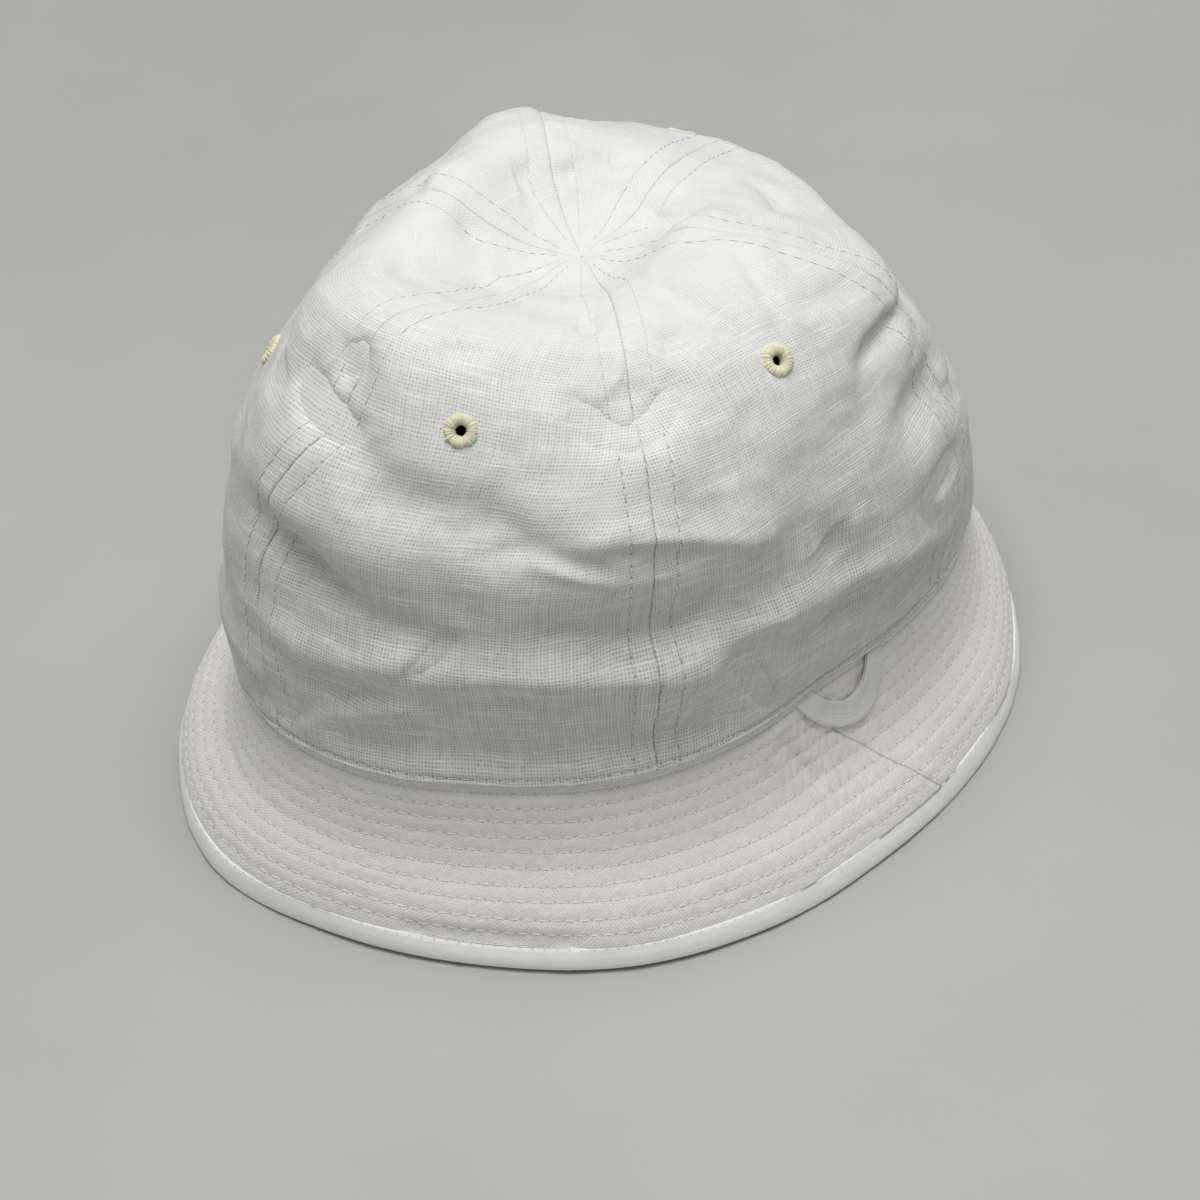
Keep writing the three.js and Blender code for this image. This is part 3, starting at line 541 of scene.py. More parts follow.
def linen(name, base, shade, pitch, seams=True, sheen=0.1):
    """Crown cloth: weave along the panel, stitch holes beside its seams and above its edge."""
    look = Look(name, 0.92, sheen)
    x, y = look.uv("weave")
    gap, slub, height = weave(look, x, y, pitch)
    if seams:
        # the weave's dark gaps and slubs are painted stronger lower down the crown and fainter towards the top:
        # painted shade on the lower wall, painted light on the top
        weave_and_painted_shade = look.add(look.add(0.30, look.times(look.step(y, 138.0, 100.0), 0.75)), look.times(look.step(y, 75.0, 40.0), 0.45))
    else:
        weave_and_painted_shade = 1.0
    light = look.add(look.times(look.times(look.add(slub, -0.95), 0.12), weave_and_painted_shade), 0.88)
    light = look.math("SUBTRACT", light, look.times(look.times(gap, 0.95), weave_and_painted_shade))
    colour = look.mix(look.math("ADD", light, 0.0, clamp=True), shade, base)
    if seams:
        d, s = look.uv("seam")
        side = look.math("ABSOLUTE", d)
        dash = look.step(look.math("COSINE", look.times(s, 2 * math.pi / 3.1)), -0.80, -0.10)
        low = look.step(s, 118.0, 96.0)
        line = look.times(look.step(side, 0.24, 0.07), look.add(look.times(dash, look.add(look.times(low, 0.26), 0.08)), 0.05))
        along_s = look.math("SUBTRACT", look.math("FRACT", look.times(s, 1 / STITCH)), 0.5)
        across = look.add(side, -TOPSTITCH)
        hole = look.math("SQRT", look.add(look.math("POWER", look.times(along_s, STITCH * 0.75), 2.0), look.math("POWER", across, 2.0)))
        dots = look.times(look.step(hole, 0.42, 0.14), look.add(look.times(low, 0.38), 0.14))
        faint = look.times(look.step(look.math("ABSOLUTE", across), 0.42, 0.1), look.add(look.times(low, 0.07), 0.03))
        along_x = look.math("SUBTRACT", look.math("FRACT", look.times(x, 1 / STITCH)), 0.5)
        edge = look.add(y, -HEM_STITCH)
        hem = look.math("SQRT", look.add(look.math("POWER", look.times(along_x, STITCH * 0.75), 2.0), look.math("POWER", edge, 2.0)))
        dots = look.math("MAXIMUM", dots, look.times(look.step(hem, 0.45, 0.15), 0.5))
        dark = look.math("MAXIMUM", look.math("MAXIMUM", line, dots), faint)
        colour = look.mix(dark, colour, (0.11, 0.105, 0.085))
    return look.finish(colour, height, 0.0002, 0.32)


def brim_linen(name):
    look = Look(name, 0.92, 0.1)
    x, y = look.uv("weave")
    # cut across the brim, so its grain lies at an angle to the rows
    u = look.add(look.times(x, 0.82), look.times(y, -0.57))
    v = look.add(look.times(x, 0.57), look.times(y, 0.82))
    gap, slub, height = weave(look, u, v, 0.7, 0.2)
    fleck = look.noise(look.vector(x, y, 4.0), 1.1, 3.0, 0.7)
    light = look.add(look.times(look.add(slub, -1.1), 0.07), look.add(look.times(look.add(fleck, -0.5), 0.35), 0.86))
    light = look.math("SUBTRACT", light, look.times(gap, 0.95))
    # a lighter base than the crown's linen: painted light on the brim
    colour = look.mix(look.math("ADD", light, 0.0, clamp=True), (0.57, 0.553, 0.50), (0.90, 0.885, 0.832))
    s, row = look.uv("rows")
    in_row = look.math("SUBTRACT", look.math("FRACT", look.add(row, 0.5)), 0.5)
    number = look.math("SUBTRACT", row, in_row)
    phase = look.add(s, look.times(number, ROW_SHIFT))
    beside = look.math("SUBTRACT", look.math("FRACT", look.add(phase, 0.5)), 0.5)
    away = look.math("SQRT", look.add(look.math("POWER", look.times(beside, 3.1), 2.0), look.math("POWER", look.times(in_row, 4.4), 2.0)))
    dots = look.times(look.step(away, 0.55, 0.15), 0.32)
    j, _ = look.uv("join")
    join = look.times(look.step(look.math("ABSOLUTE", j), 0.34, 0.10), 0.42)
    colour = look.mix(look.math("MAXIMUM", dots, join), colour, (0.16, 0.15, 0.12))
    return look.finish(colour, look.add(height, fleck), 0.00016, 0.35)


def tape(name, base, shade):
    """Edge binding: smooth bias cloth, faint diagonal weave, stitch holes along its upper edge."""
    look = Look(name, 0.9, 0.15)
    x, y = look.uv("weave")
    u = look.add(look.times(x, 0.7), look.times(y, 0.7))
    v = look.add(look.times(x, 0.7), look.times(y, -0.7))
    gap, slub, height = weave(look, u, v, 0.55, 0.15)
    fuzz = look.noise(look.vector(x, y, 2.0), 1.6, 4.0, 0.7)
    light = look.add(look.times(look.add(slub, -1.0), 0.06), 0.90)
    light = look.math("SUBTRACT", light, look.times(gap, 0.30))
    light = look.math("ADD", light, look.times(look.add(fuzz, -0.5), 0.12), clamp=True)
    colour = look.mix(light, shade, base)
    along_x = look.math("SUBTRACT", look.math("FRACT", look.times(x, 1 / 3.0)), 0.5)
    away = look.math("SQRT", look.add(look.math("POWER", look.times(along_x, 2.6), 2.0), look.math("POWER", look.add(y, -1.1), 2.0)))
    colour = look.mix(look.times(look.step(away, 0.42, 0.12), 0.25), colour, (0.22, 0.21, 0.17))
    return look.finish(colour, look.add(height, look.times(fuzz, 0.6)), 0.00012, 0.3)


def thread(name, base, shade, scale):
    """Spun sewing or embroidery thread."""
    look = Look(name, 0.75, 0.25)
    place = look.place()
    fibre = look.noise(place, scale, 4.0, 0.75)
    broad = look.noise(place, scale / 9, 2.0, 0.5)
    light = look.math("ADD", look.times(fibre, 0.7), look.times(broad, 0.5), clamp=True)
    return look.finish(look.mix(light, shade, base), fibre, 0.0001, 0.6)


# the crown's linen has a darker base than the brim's linen and the edge tape: painted shade on the crown, painted
# light on brim and tape
CROWN_LINEN = linen("crown_linen", (0.78, 0.777, 0.763), (0.35, 0.342, 0.316), 0.80)
BRIM_LINEN = brim_linen("brim_linen")
EDGE_TAPE = tape("edge_tape", (0.94, 0.93, 0.905), (0.72, 0.705, 0.665))
LOOP_LINEN = linen("loop_linen", (0.83, 0.82, 0.785), (0.55, 0.535, 0.49), 0.65, seams=False)
EYELET_THREAD = thread("eyelet_thread", (0.84, 0.80, 0.63), (0.55, 0.50, 0.33), 900)
ROW_THREAD = thread("row_thread", (0.86, 0.84, 0.75), (0.70, 0.68, 0.58), 1500)
SEAM_THREAD = thread("seam_thread", (0.82, 0.81, 0.775), (0.66, 0.645, 0.60), 1500)


# ------------------------------------------------------------ crown panels
def seam_az(k, up):
    return along(SEAMS, SEAM_NAMES[k % 6], up)


SEAM_SIDE = np.array([0, .1, .22, .36, .55, .8, 1.1, 1.5, 2.0, 2.6, 3.3, 4.0, 4.6, 5.0, 5.3, 5.55, 5.8,
                      6.05, 6.3, 6.6, 7.0, 7.6, 8.4, 9.2])
MIDDLE_STEPS = 104
LOW_EDGE = np.array([0, .25, .5, .8, 1.1, 1.4, 1.7, 2.0, 2.3, 2.7, 3.2, 3.8, 4.6, 5.4, 6.3])


def panel_width(k, up):
    """Azimuths and arc lengths across panel k at each share of the meridian."""
    up = np.atleast_1d(up)
    lo = seam_az(k, up)
    hi = seam_az(k + 1, up) + (360 if k == 5 else 0)
    t = np.linspace(0, 1, 41)
    az = lo[:, None] + (hi - lo)[:, None] * t
    p = crown_plain(az, np.broadcast_to(up[:, None], az.shape))
    arc = np.concatenate([np.zeros((len(up), 1)), np.cumsum(np.linalg.norm(np.diff(p, axis=1), axis=-1), axis=1)], axis=1)
    return az, arc


def topstitch_at(width):
    return TOPSTITCH * np.minimum(1, width / 23.0)


def cloth_detail(k, az, up, d, width, base):
    """How far the cloth of panel k stands over the plain folded form, outwards."""
    y = up * MERIDIAN
    side = np.minimum(d, width - d)
    seam = np.where(d < width - d, k, (k + 1) % 6)
    stitch = topstitch_at(width)
    calm = np.ones_like(side)
    for a, u in zip(EYELETS["az"], EYELETS["up"]):
        r = ROUND * float(along(CROWN, "share", u))
        away = np.hypot(np.radians(np.mod(az - a + 540, 360) - 180) * r, (up - u) * MERIDIAN)
        calm = calm * (1 - np.exp(-((away / 8.0) ** 2)))
    near_centre = smooth((1 - up) / 0.05)
    out = crumple(base) * calm * (0.15 + 0.85 * near_centre) * smooth(y / 5.0)
    out = out + fold_depth(az, up, CREASES) * calm
    # doubled cloth beside the seam, then the row of stitches that holds it
    band = smooth(side / 1.3) * (1 - smooth((side - stitch - 0.6) / 1.6))
    out = out + 0.14 * band * smooth(width / 12)
    hold = 0.7 + 0.3 * np.cos(2 * np.pi * y / STITCH)
    out = out - (0.12 + 0.12 * smooth((125 - y) / 25)) * np.exp(-(((side - stitch) / 0.6) ** 2)) * hold * smooth(width / 12)
    tight = 0.8 + 0.2 * np.cos(2 * np.pi * y / 3.0)
    out = out - (0.10 + 0.12 * smooth((125 - y) / 25)) * np.exp(-((side / 0.42) ** 2)) * tight
    pucker = noise(y / 3.1, side / 7.0, seam * 5.0, 11) * np.exp(-(((side - stitch) / 4.2) ** 2))
    out = out + 0.20 * pucker * smooth(y / 6) * smooth(width / 14)
    # turned edge over the brim
    out = out + 0.48 * np.exp(-(((y - 0.7) / 0.7) ** 2)) * (1 + 0.35 * noise((d + 61 * k) / 3.0, 0.3, 8.0, 14))
    out = out - 0.42 * np.exp(-(((y - HEM_STITCH) / 0.6) ** 2)) * (0.8 + 0.2 * np.cos(2 * np.pi * (d - width / 2) / STITCH))
    out = out + 0.20 * noise((d + 97 * k) / 2.6, y / 6.0, 2.0, 12) * np.exp(-(((y - 3.4) / 2.6) ** 2))
    return out


def panel_grid(k, up):
    az_line, arc = panel_width(k, up)
    width = arc[:, -1]
    scale = np.minimum(1, width / 23.0)
    left = SEAM_SIDE[None, :] * scale[:, None]
    t = np.linspace(0, 1, MIDDLE_STEPS + 1)[1:-1]
    start = left[:, -1:]
    middle = start + (width[:, None] - 2 * start) * t
    d = np.concatenate([left, middle, width[:, None] - left[:, ::-1]], axis=1)
    az = np.array([np.interp(d[j], arc[j], az_line[j]) for j in range(len(up))])
    return az, d, np.broadcast_to(width[:, None], d.shape)


def crown_points(k, az, up, d, width):
    base = crown_outside(az, up)
    normal = crown_normal(az, up)
    return base, normal, cloth_detail(k, az, up, d, width, base)


def crown_panel(k):
    up = np.concatenate([LOW_EDGE, np.linspace(LOW_EDGE[-1], MERIDIAN * 0.9994, 226)[1:]]) / MERIDIAN
    az, d, width = panel_grid(k, up)
    ups = np.broadcast_to(up[:, None], az.shape)
    base, normal, out = crown_points(k, az, ups, d, width)
    points = base + normal * out[..., None]
    # both long edges turn in to the seam, and the lower one over the brim
    turn = np.exp(-((np.minimum(d, width - d) / 0.14) ** 2)) * smooth(width / 4)
    points = points - normal * (0.22 * turn)[..., None]
    lower = np.clip(1 - ups * MERIDIAN / 0.55, 0, 1) ** 2
    points = points - normal * (0.55 * lower)[..., None]
    rows, cols = az.shape

    eye_az, eye_up = EYELETS["az"][k], EYELETS["up"][k]
    centre = crown_outside(np.array(eye_az), np.array(eye_up))
    n = unit(normal_of(crown_outside, np.array(eye_az), np.array(eye_up), 2.2, 0.02))
    flat = points - centre
    flat = flat - (flat @ n)[..., None] * n
    open_here = np.linalg.norm(flat, axis=-1) < 2.35
    near = np.linalg.norm(points - centre, axis=-1) < 12

    outer = grid_faces(rows, cols)
    kept = ~((open_here & near).ravel()[outer].any(axis=1))
    faces = outer[kept].tolist()

    # back of the cloth, coarser
    ri = np.unique(np.concatenate([np.arange(0, rows, 4), [rows - 1]]))
    ci = np.unique(np.concatenate([np.arange(0, cols, 4), [cols - 1]]))
    back = (base + normal * (crumple(base) * 0.8 * smooth(ups * MERIDIAN / 5.0) - CLOTH)[..., None])[np.ix_(ri, ci)]
    open_back = (open_here & near)
    grown = open_back.copy()
    for _ in range(3):
        g = grown.copy()
        g[1:] |= grown[:-1]; g[:-1] |= grown[1:]; g[:, 1:] |= grown[:, :-1]; g[:, :-1] |= grown[:, 1:]
        grown = g
    first = rows * cols
    inner = grid_faces(len(ri), len(ci), first, flip=True)
    hole = grown[np.ix_(ri, ci)].ravel()
    faces += inner[~hole[inner - first].any(axis=1)].tolist()
    number = lambda a, b: first + a * len(ci) + b
    outer_number = lambda i, j: int(i * cols + j)
    for a in range(len(ri) - 1):
        for column, b, turn_back in ((0, 0, False), (cols - 1, len(ci) - 1, True)):
            chain = [outer_number(i, column) for i in range(ri[a], ri[a + 1] + 1)]
            face = chain + [number(a + 1, b), number(a, b)]
            faces.append(face[::-1] if turn_back else face)
    for b in range(len(ci) - 1):
        for row, a, turn_back in ((0, 0, True), (rows - 1, len(ri) - 1, False)):
            chain = [outer_number(row, j) for j in range(ci[b], ci[b + 1] + 1)]
            face = chain + [number(a, b + 1), number(a, b)]
            faces.append(face[::-1] if turn_back else face)

    side = np.minimum(d, width - d) * (TOPSTITCH / np.maximum(topstitch_at(width), 0.05))
    y = ups * MERIDIAN
    weave_uv = np.stack([d - width / 2, y], -1)
    seam_uv = np.stack([side, y], -1)
    pick = lambda uv: np.concatenate([uv.reshape(-1, 2), uv[np.ix_(ri, ci)].reshape(-1, 2)])
    back_seam = pick(seam_uv)
    back_seam[first:, 0] = 30.0
    everything = np.concatenate([points.reshape(-1, 3), back.reshape(-1, 3)])
    return piece(f"crown_cloth_{k + 1}", everything, faces, CROWN_LINEN, {"weave": pick(weave_uv), "seam": back_seam},
                 [f"crown_panel_{k + 1}"])


# ----------------------------------------------------------------- stitches
def stitch_mesh(start, end, normal, radius, rise, sides=5, spans=4):
    """Points and faces of many threads, each an arched capsule from start to end."""
    run = unit(end - start)
    across = unit(np.cross(normal, run))
    t = np.linspace(0, 1, spans + 1)
    angle = np.linspace(0, 2 * np.pi, sides, endpoint=False)
    thick = radius * (0.45 + 0.55 * np.sqrt(np.clip(1 - (2 * t - 1) ** 4, 0, 1)))
    height = rise * (1 - (2 * t - 1) ** 2) - radius * 0.55 * (np.abs(2 * t - 1) ** 3)
    centre = start[:, None] + (end - start)[:, None] * t[None, :, None] + normal[:, None] * height[None, :, None]
    ring = (np.cos(angle)[None, None, :, None] * across[:, None, None, :]
            + np.sin(angle)[None, None, :, None] * normal[:, None, None, :]) * thick[None, :, None, None]
    points = centre[:, :, None, :] + ring
    per = (spans + 1) * sides
    one = grid_faces(spans + 1, sides, close=True)
    ends = np.array([list(range(sides))[::-1], list(range(spans * sides, per))])
    offsets = (np.arange(len(start)) * per)[:, None, None]
    quads = (one[None] + offsets).reshape(-1, 4)
    caps = (ends[None] + offsets).reshape(-1, sides)
    return points.reshape(-1, 3), quads.tolist() + caps.tolist()


def crown_spot(k, up, side_az, stitch_side):
    """A point on the finished crown cloth of panel k, beside one of its seams."""
    az_line, arc = panel_width(k, up)
    width = arc[:, -1]
    off = topstitch_at(width)
    d = off if stitch_side == "left" else width - off
    az = np.array([np.interp(d[j], arc[j], az_line[j]) for j in range(len(up))])
    base, normal, out = crown_points(k, az, up, d, width)
    return base + normal * out[:, None], normal


def seam_stitches():
    rng = np.random.default_rng(5)
    points, faces, total = [], [], 0
    rows = np.arange(1, int(MERIDIAN * 0.955 / STITCH))
    for k in range(6):
        for stitch_side in ("left", "right"):
            a = (rows + 0.14) * STITCH / MERIDIAN - 0.5 * STITCH / MERIDIAN * 0
            b = (rows + 0.86) * STITCH / MERIDIAN
            a, b = a + 0.5 * STITCH / MERIDIAN, b + 0.5 * STITCH / MERIDIAN
            pa, na = crown_spot(k, a, None, stitch_side)
            pb, nb = crown_spot(k, b, None, stitch_side)
            n = unit(na + nb)
            lift = 0.02 + 0.03 * rng.random(len(rows))[:, None]
            p, f = stitch_mesh(pa + na * lift, pb + nb * lift, n, 0.15, 0.10)
            points.append(p)
            faces += [[v + total for v in face] for face in f]
            total += len(p)
    # round the crown's edge
    for k in range(6):
        az_line, arc = panel_width(k, np.array([HEM_STITCH / MERIDIAN]))
        width = arc[0, -1]
        count = int(width / STITCH / 2)
        middle = (np.arange(-count, count) + 0.5 + 0.5) * STITCH + width / 2
        keep = (middle > 2.5) & (middle < width - 2.5)
        middle = middle[keep]
        up = np.full(len(middle), HEM_STITCH / MERIDIAN)
        spots = []
        for d in (middle - 1.15, middle + 1.15):
            az = np.interp(d, arc[0], az_line[0])
            base, normal, out = crown_points(k, az, up, d, np.full(len(d), width))
            spots.append((base + normal * (out + 0.03)[:, None], normal))
        p, f = stitch_mesh(spots[0][0], spots[1][0], unit(spots[0][1] + spots[1][1]), 0.15, 0.10)
        points.append(p)
        faces += [[v + total for v in face] for face in f]
        total += len(p)
    piece("crown_stitches", np.concatenate(points), faces, SEAM_THREAD)


# --------------------------------------------------------------------- brim
def polyline_distance(az, down, az_points, down_points):
    """Signed sideways distance to a line drawn on the brim, in mm."""
    r = 90.0
    a = np.mod(az + 180, 360) - 180
    px, py = np.radians(a) * r, down * BRIM_LENGTH
    qx, qy = np.radians(az_points) * r, down_points * BRIM_LENGTH
    best = np.full(px.shape, 1e9)
    sign = np.ones(px.shape)
    for x0, y0, x1, y1 in zip(qx[:-1], qy[:-1], qx[1:], qy[1:]):
        dx, dy = x1 - x0, y1 - y0
        t = np.clip(((px - x0) * dx + (py - y0) * dy) / (dx * dx + dy * dy), 0, 1)
        away = np.hypot(px - x0 - t * dx, py - y0 - t * dy)
        closer = away < best
        best = np.where(closer, away, best)
        sign = np.where(closer, np.sign((px - x0) * dy - (py - y0) * dx), sign)
    return best * np.where(sign == 0, 1, sign)


def brim_detail(az, down):
    t = down * BRIM_LENGTH
    s = az / 360 * STITCHES_ROUND
    a = np.mod(az + 180, 360) - 180
    arc = np.radians(a) * 92
    px, py, pz = np.sin(np.radians(az)) * 92, np.cos(np.radians(az)) * 92, t
    out = 0.45 * noise(px / 22, py / 22, pz / 22, 21) * smooth(t / 6)
    # puckers between the rows of stitches, strong to the left of the loop
    lean = a - 37 - 14 * (down - 0.4)
    puckered = np.exp(-((lean / 8) ** 4) - (((down - 0.42) / 0.30) ** 4)) * smooth((t - 3) / 3)
    beat = noise(px / 16, py / 16, pz / 9, 25)
    pillow = 0.5 + 0.5 * np.cos(2 * np.pi * (s * 0.86 + 0.25 * beat + 0.18 * t / 4.5))
    out = out + (0.07 + 0.62 * puckered) * (pillow - 0.35) * np.abs(np.sin(np.pi * row_number(down))) ** 0.7
    out = out + 0.11 * noise(px / 3.2, py / 3.2, pz / 2.1, 22) + 0.05 * noise(px / 1.4, py / 1.4, pz / 1.4, 23)
    for k, row in enumerate(ROWS):
        hold = 0.72 + 0.28 * np.cos(2 * np.pi * (s + ROW_SHIFT * k))
        out = out - (0.24 + 0.20 * puckered) * np.exp(-(((t - row * BRIM_LENGTH) / 0.8) ** 2)) * hold
    out = out + 0.16
    join = polyline_distance(az, down, JOIN["az"], JOIN["down"])
    out = out - 0.32 * np.exp(-((join / 0.5) ** 2)) + 0.16 * np.exp(-((join / 5) ** 4))
    crease = polyline_distance(az, down, np.array([29.5, 31.5, 34.5]), np.array([0.20, 0.34, 0.48]))
    out = out - 0.85 * np.exp(-((crease / 2.0) ** 2)) + 0.45 * np.exp(-(((np.abs(crease) - 4.5) / 2.5) ** 2))
    dent = polyline_distance(az, down, np.array([-30.0, -20.0, -9.0]), np.array([0.86, 0.85, 0.86]))
    out = out - 0.9 * np.exp(-((dent / 2.4) ** 2))
    return out * smooth(t / 1.2)


def brim_points(az, down):
    return brim_outside(az, down) + brim_normal(az, down) * brim_detail(az, down)[..., None]


def row_number(down):
    """Rows of stitches as a continuous number, whole on each row."""
    steps = np.concatenate([[ROWS[0] - 0.085], ROWS, [ROWS[-1] + 0.085]])
    return np.interp(down, steps, np.arange(-1, len(ROWS) + 1))


BRIM_ROUND = 880


def brim():
    az = np.arange(BRIM_ROUND) * 360.0 / BRIM_ROUND
    down = np.linspace(0.012, BIND_TOP + 0.012, 77)
    grid_az, grid_down = np.meshgrid(az, down, indexing="ij")
    outer = brim_points(grid_az, grid_down)
    back = np.linspace(BIND_TOP, 0.03, 13)
    back_az, back_down = np.meshgrid(az, back, indexing="ij")
    ripple = 0.12 * noise(np.sin(np.radians(back_az)) * 30, np.cos(np.radians(back_az)) * 30, back_down * 17, 24)
    inner = brim_outside(back_az, back_down) + brim_normal(back_az, back_down) * (ripple - BRIM_WALL)[..., None]
    n = crown_normal(az, np.zeros(len(az)))
    seam = crown_outside(az, np.zeros(len(az)))
    lap = lambda offset, z: seam + n * offset + np.array([0, 0, z])
    top = np.stack([lap(-BRIM_SET_IN - BRIM_WALL, 0.0), lap(-BRIM_SET_IN - BRIM_WALL, 2.6),
                    lap(-BRIM_SET_IN - BRIM_WALL / 2, 3.0), lap(-BRIM_SET_IN, 2.6), lap(-BRIM_SET_IN, -0.5)], 1)
    points = np.concatenate([outer, inner, top], axis=1)
    count = points.shape[1]
    ring = np.concatenate([points, points[:1]], axis=0)
    faces = grid_faces(BRIM_ROUND + 1, count, close=True, flip=True)
    wrapped = faces % (BRIM_ROUND * count)
    downs = np.concatenate([down, back, [0.0, -0.05, -0.06, -0.05, 0.0]])
    all_az = np.repeat(np.append(az, 360.0), count)
    all_down = np.tile(downs, BRIM_ROUND + 1)
    shown = np.tile(np.arange(count) < len(down), BRIM_ROUND + 1)
    weave_uv = np.stack([np.radians(all_az) * 98, all_down * BRIM_LENGTH], -1)
    rows_uv = np.stack([all_az / 360 * STITCHES_ROUND, np.where(shown, row_number(all_down), 0.5)], -1)
    join = polyline_distance(all_az, all_down, JOIN["az"], JOIN["down"])
    join_uv = np.stack([np.where(shown, join, 50.0), all_down], -1)
    # the mesh is closed round, while its texture runs on past the start
    mesh_points = points.reshape(-1, 3)
    obj = piece("brim_cloth", mesh_points, wrapped.tolist(), BRIM_LINEN, None, ["brim"])
    corner = faces.ravel()
    if len(obj.data.loops) != len(corner):
        raise ValueError("brim faces were changed")
    for layer, uv in (("weave", weave_uv), ("rows", rows_uv), ("join", join_uv)):
        data = obj.data.uv_layers.new(name=layer)
        data.data.foreach_set("uv", uv[corner].astype(np.float32).ravel())
    return obj


def brim_stitches():
    rng = np.random.default_rng(9)
    starts, ends, normals = [], [], []
    for k, row in enumerate(ROWS):
        for j in range(STITCHES_ROUND):
            middle = j + 0.5 - ROW_SHIFT * k
            half = 0.36 + 0.03 * rng.random()
            skew = 0.0025 * (rng.random() - 0.3)
            starts.append((middle - half, row - skew))
            ends.append((middle + half, row + skew))
    starts, ends = np.array(starts), np.array(ends)
    to_az = 360.0 / STITCHES_ROUND
    pa = brim_points(starts[:, 0] * to_az, starts[:, 1])
    pb = brim_points(ends[:, 0] * to_az, ends[:, 1])
    n = brim_normal((starts[:, 0] + ends[:, 0]) / 2 * to_az, starts[:, 1])
    points, faces = stitch_mesh(pa + n * 0.03, pb + n * 0.03, n, 0.16, 0.13)
    piece("brim_stitches", points, faces, ROW_THREAD)


# ------------------------------------------------------------------ binding
def binding():
    count = 900
    az = np.arange(count) * 360.0 / count
    full = lambda v: np.full(count, float(v))
    slot = BIND_PROUD - BIND_WALL
    back = slot - 2 * GAP - BRIM_EDGE_WALL
    high = SEAM_Z * (1 - float(along(BRIM, "drop", BIND_TOP + 0.006)))
    px, py = np.sin(np.radians(az)) * 105, np.cos(np.radians(az)) * 105
    wave = 0.16 * noise(px / 7.5, py / 7.5, 0.3, 31) + 0.10 * noise(px / 3.2, py / 3.2, 0.7, 32)
    on_brim = lambda s, offset: brim_outside(az, full(s)) + brim_normal(az, full(s)) * (offset + 0 * az)[:, None]
    edge = lambda z, offset: edge_at(az, full(z), offset + 0 * az)
    dent = np.exp(-(((np.mod(az + 180, 360) - 180 + 19) / 9) ** 2)) * 0.5
    stitch = 0.06 * np.cos(2 * np.pi * np.radians(az) * 105 / 3.0)
    top = brim_detail(az, full(BIND_TOP)) * 0.5
    section = [
        on_brim(BIND_TOP + 0.006, slot + 0.25), on_brim(BIND_TOP + 0.004, top * 0.6 + 0.04 - dent),
        on_brim(BIND_TOP + 0.007, top + 0.22 - dent), on_brim(BIND_TOP + 0.014, 0.42 + wave * 0.5 - dent),
        on_brim(BIND_TOP + 0.026, 0.44 + stitch * 0.5 - dent * 0.8), on_brim(BIND_TOP + 0.042, 0.57 + wave - dent * 0.6),
        on_brim(0.935, 0.64 + wave), on_brim(0.962, 0.64 + wave), edge(0.95, 0.58 + wave), edge(0.55, 0.42 + wave * 0.7),
        edge(0.26, 0.22), edge(0.09, -0.10), edge(0.015, -0.50), edge(0.0, -0.9),
        edge(0.0, back - BIND_WALL + 1.0), edge(0.15, back - BIND_WALL + 0.5), edge(0.45, back - BIND_WALL + 0.2),
        edge(0.9, back - BIND_WALL), edge(high * 0.5, back - BIND_WALL - 0.1), edge(high - 0.4, back - BIND_WALL - 0.25),
        edge(high, back - BIND_WALL + 0.2), edge(high, back - 0.2),
    ]
    # the edge rises a little off the floor between the places it stands on
    turn = np.mod(az + 180, 360) - 180
    rise = (1.0 * np.exp(-(((turn + 12) / 40) ** 4)) + 0.45 * np.exp(-(((turn - 44) / 13) ** 2))
            + 0.7 * np.exp(-(((turn - 128) / 26) ** 4)) + 0.6 * np.exp(-(((turn + 118) / 26) ** 4)))
    for ring in section:
        ring[..., 2] += rise * np.clip(1 - ring[..., 2] / 7.0, 0, 1)
    points = np.stack(section, 1)
    rows = len(section)
    faces = grid_faces(count + 1, rows, close=True, flip=True)
    wrapped = faces % (count * rows)
    length = np.concatenate([[0], np.cumsum(np.linalg.norm(np.diff(points[0], axis=0), axis=-1))])
    all_az = np.repeat(np.append(az, 360.0), rows)
    uv = np.stack([np.radians(all_az) * 105, np.tile(length, count + 1)], -1)
    obj = piece("edge_binding", points.reshape(-1, 3), wrapped.tolist(), EDGE_TAPE, None, ["brim_binding"])
    data = obj.data.uv_layers.new(name="weave")
    data.data.foreach_set("uv", uv[faces.ravel()].astype(np.float32).ravel())
    return obj


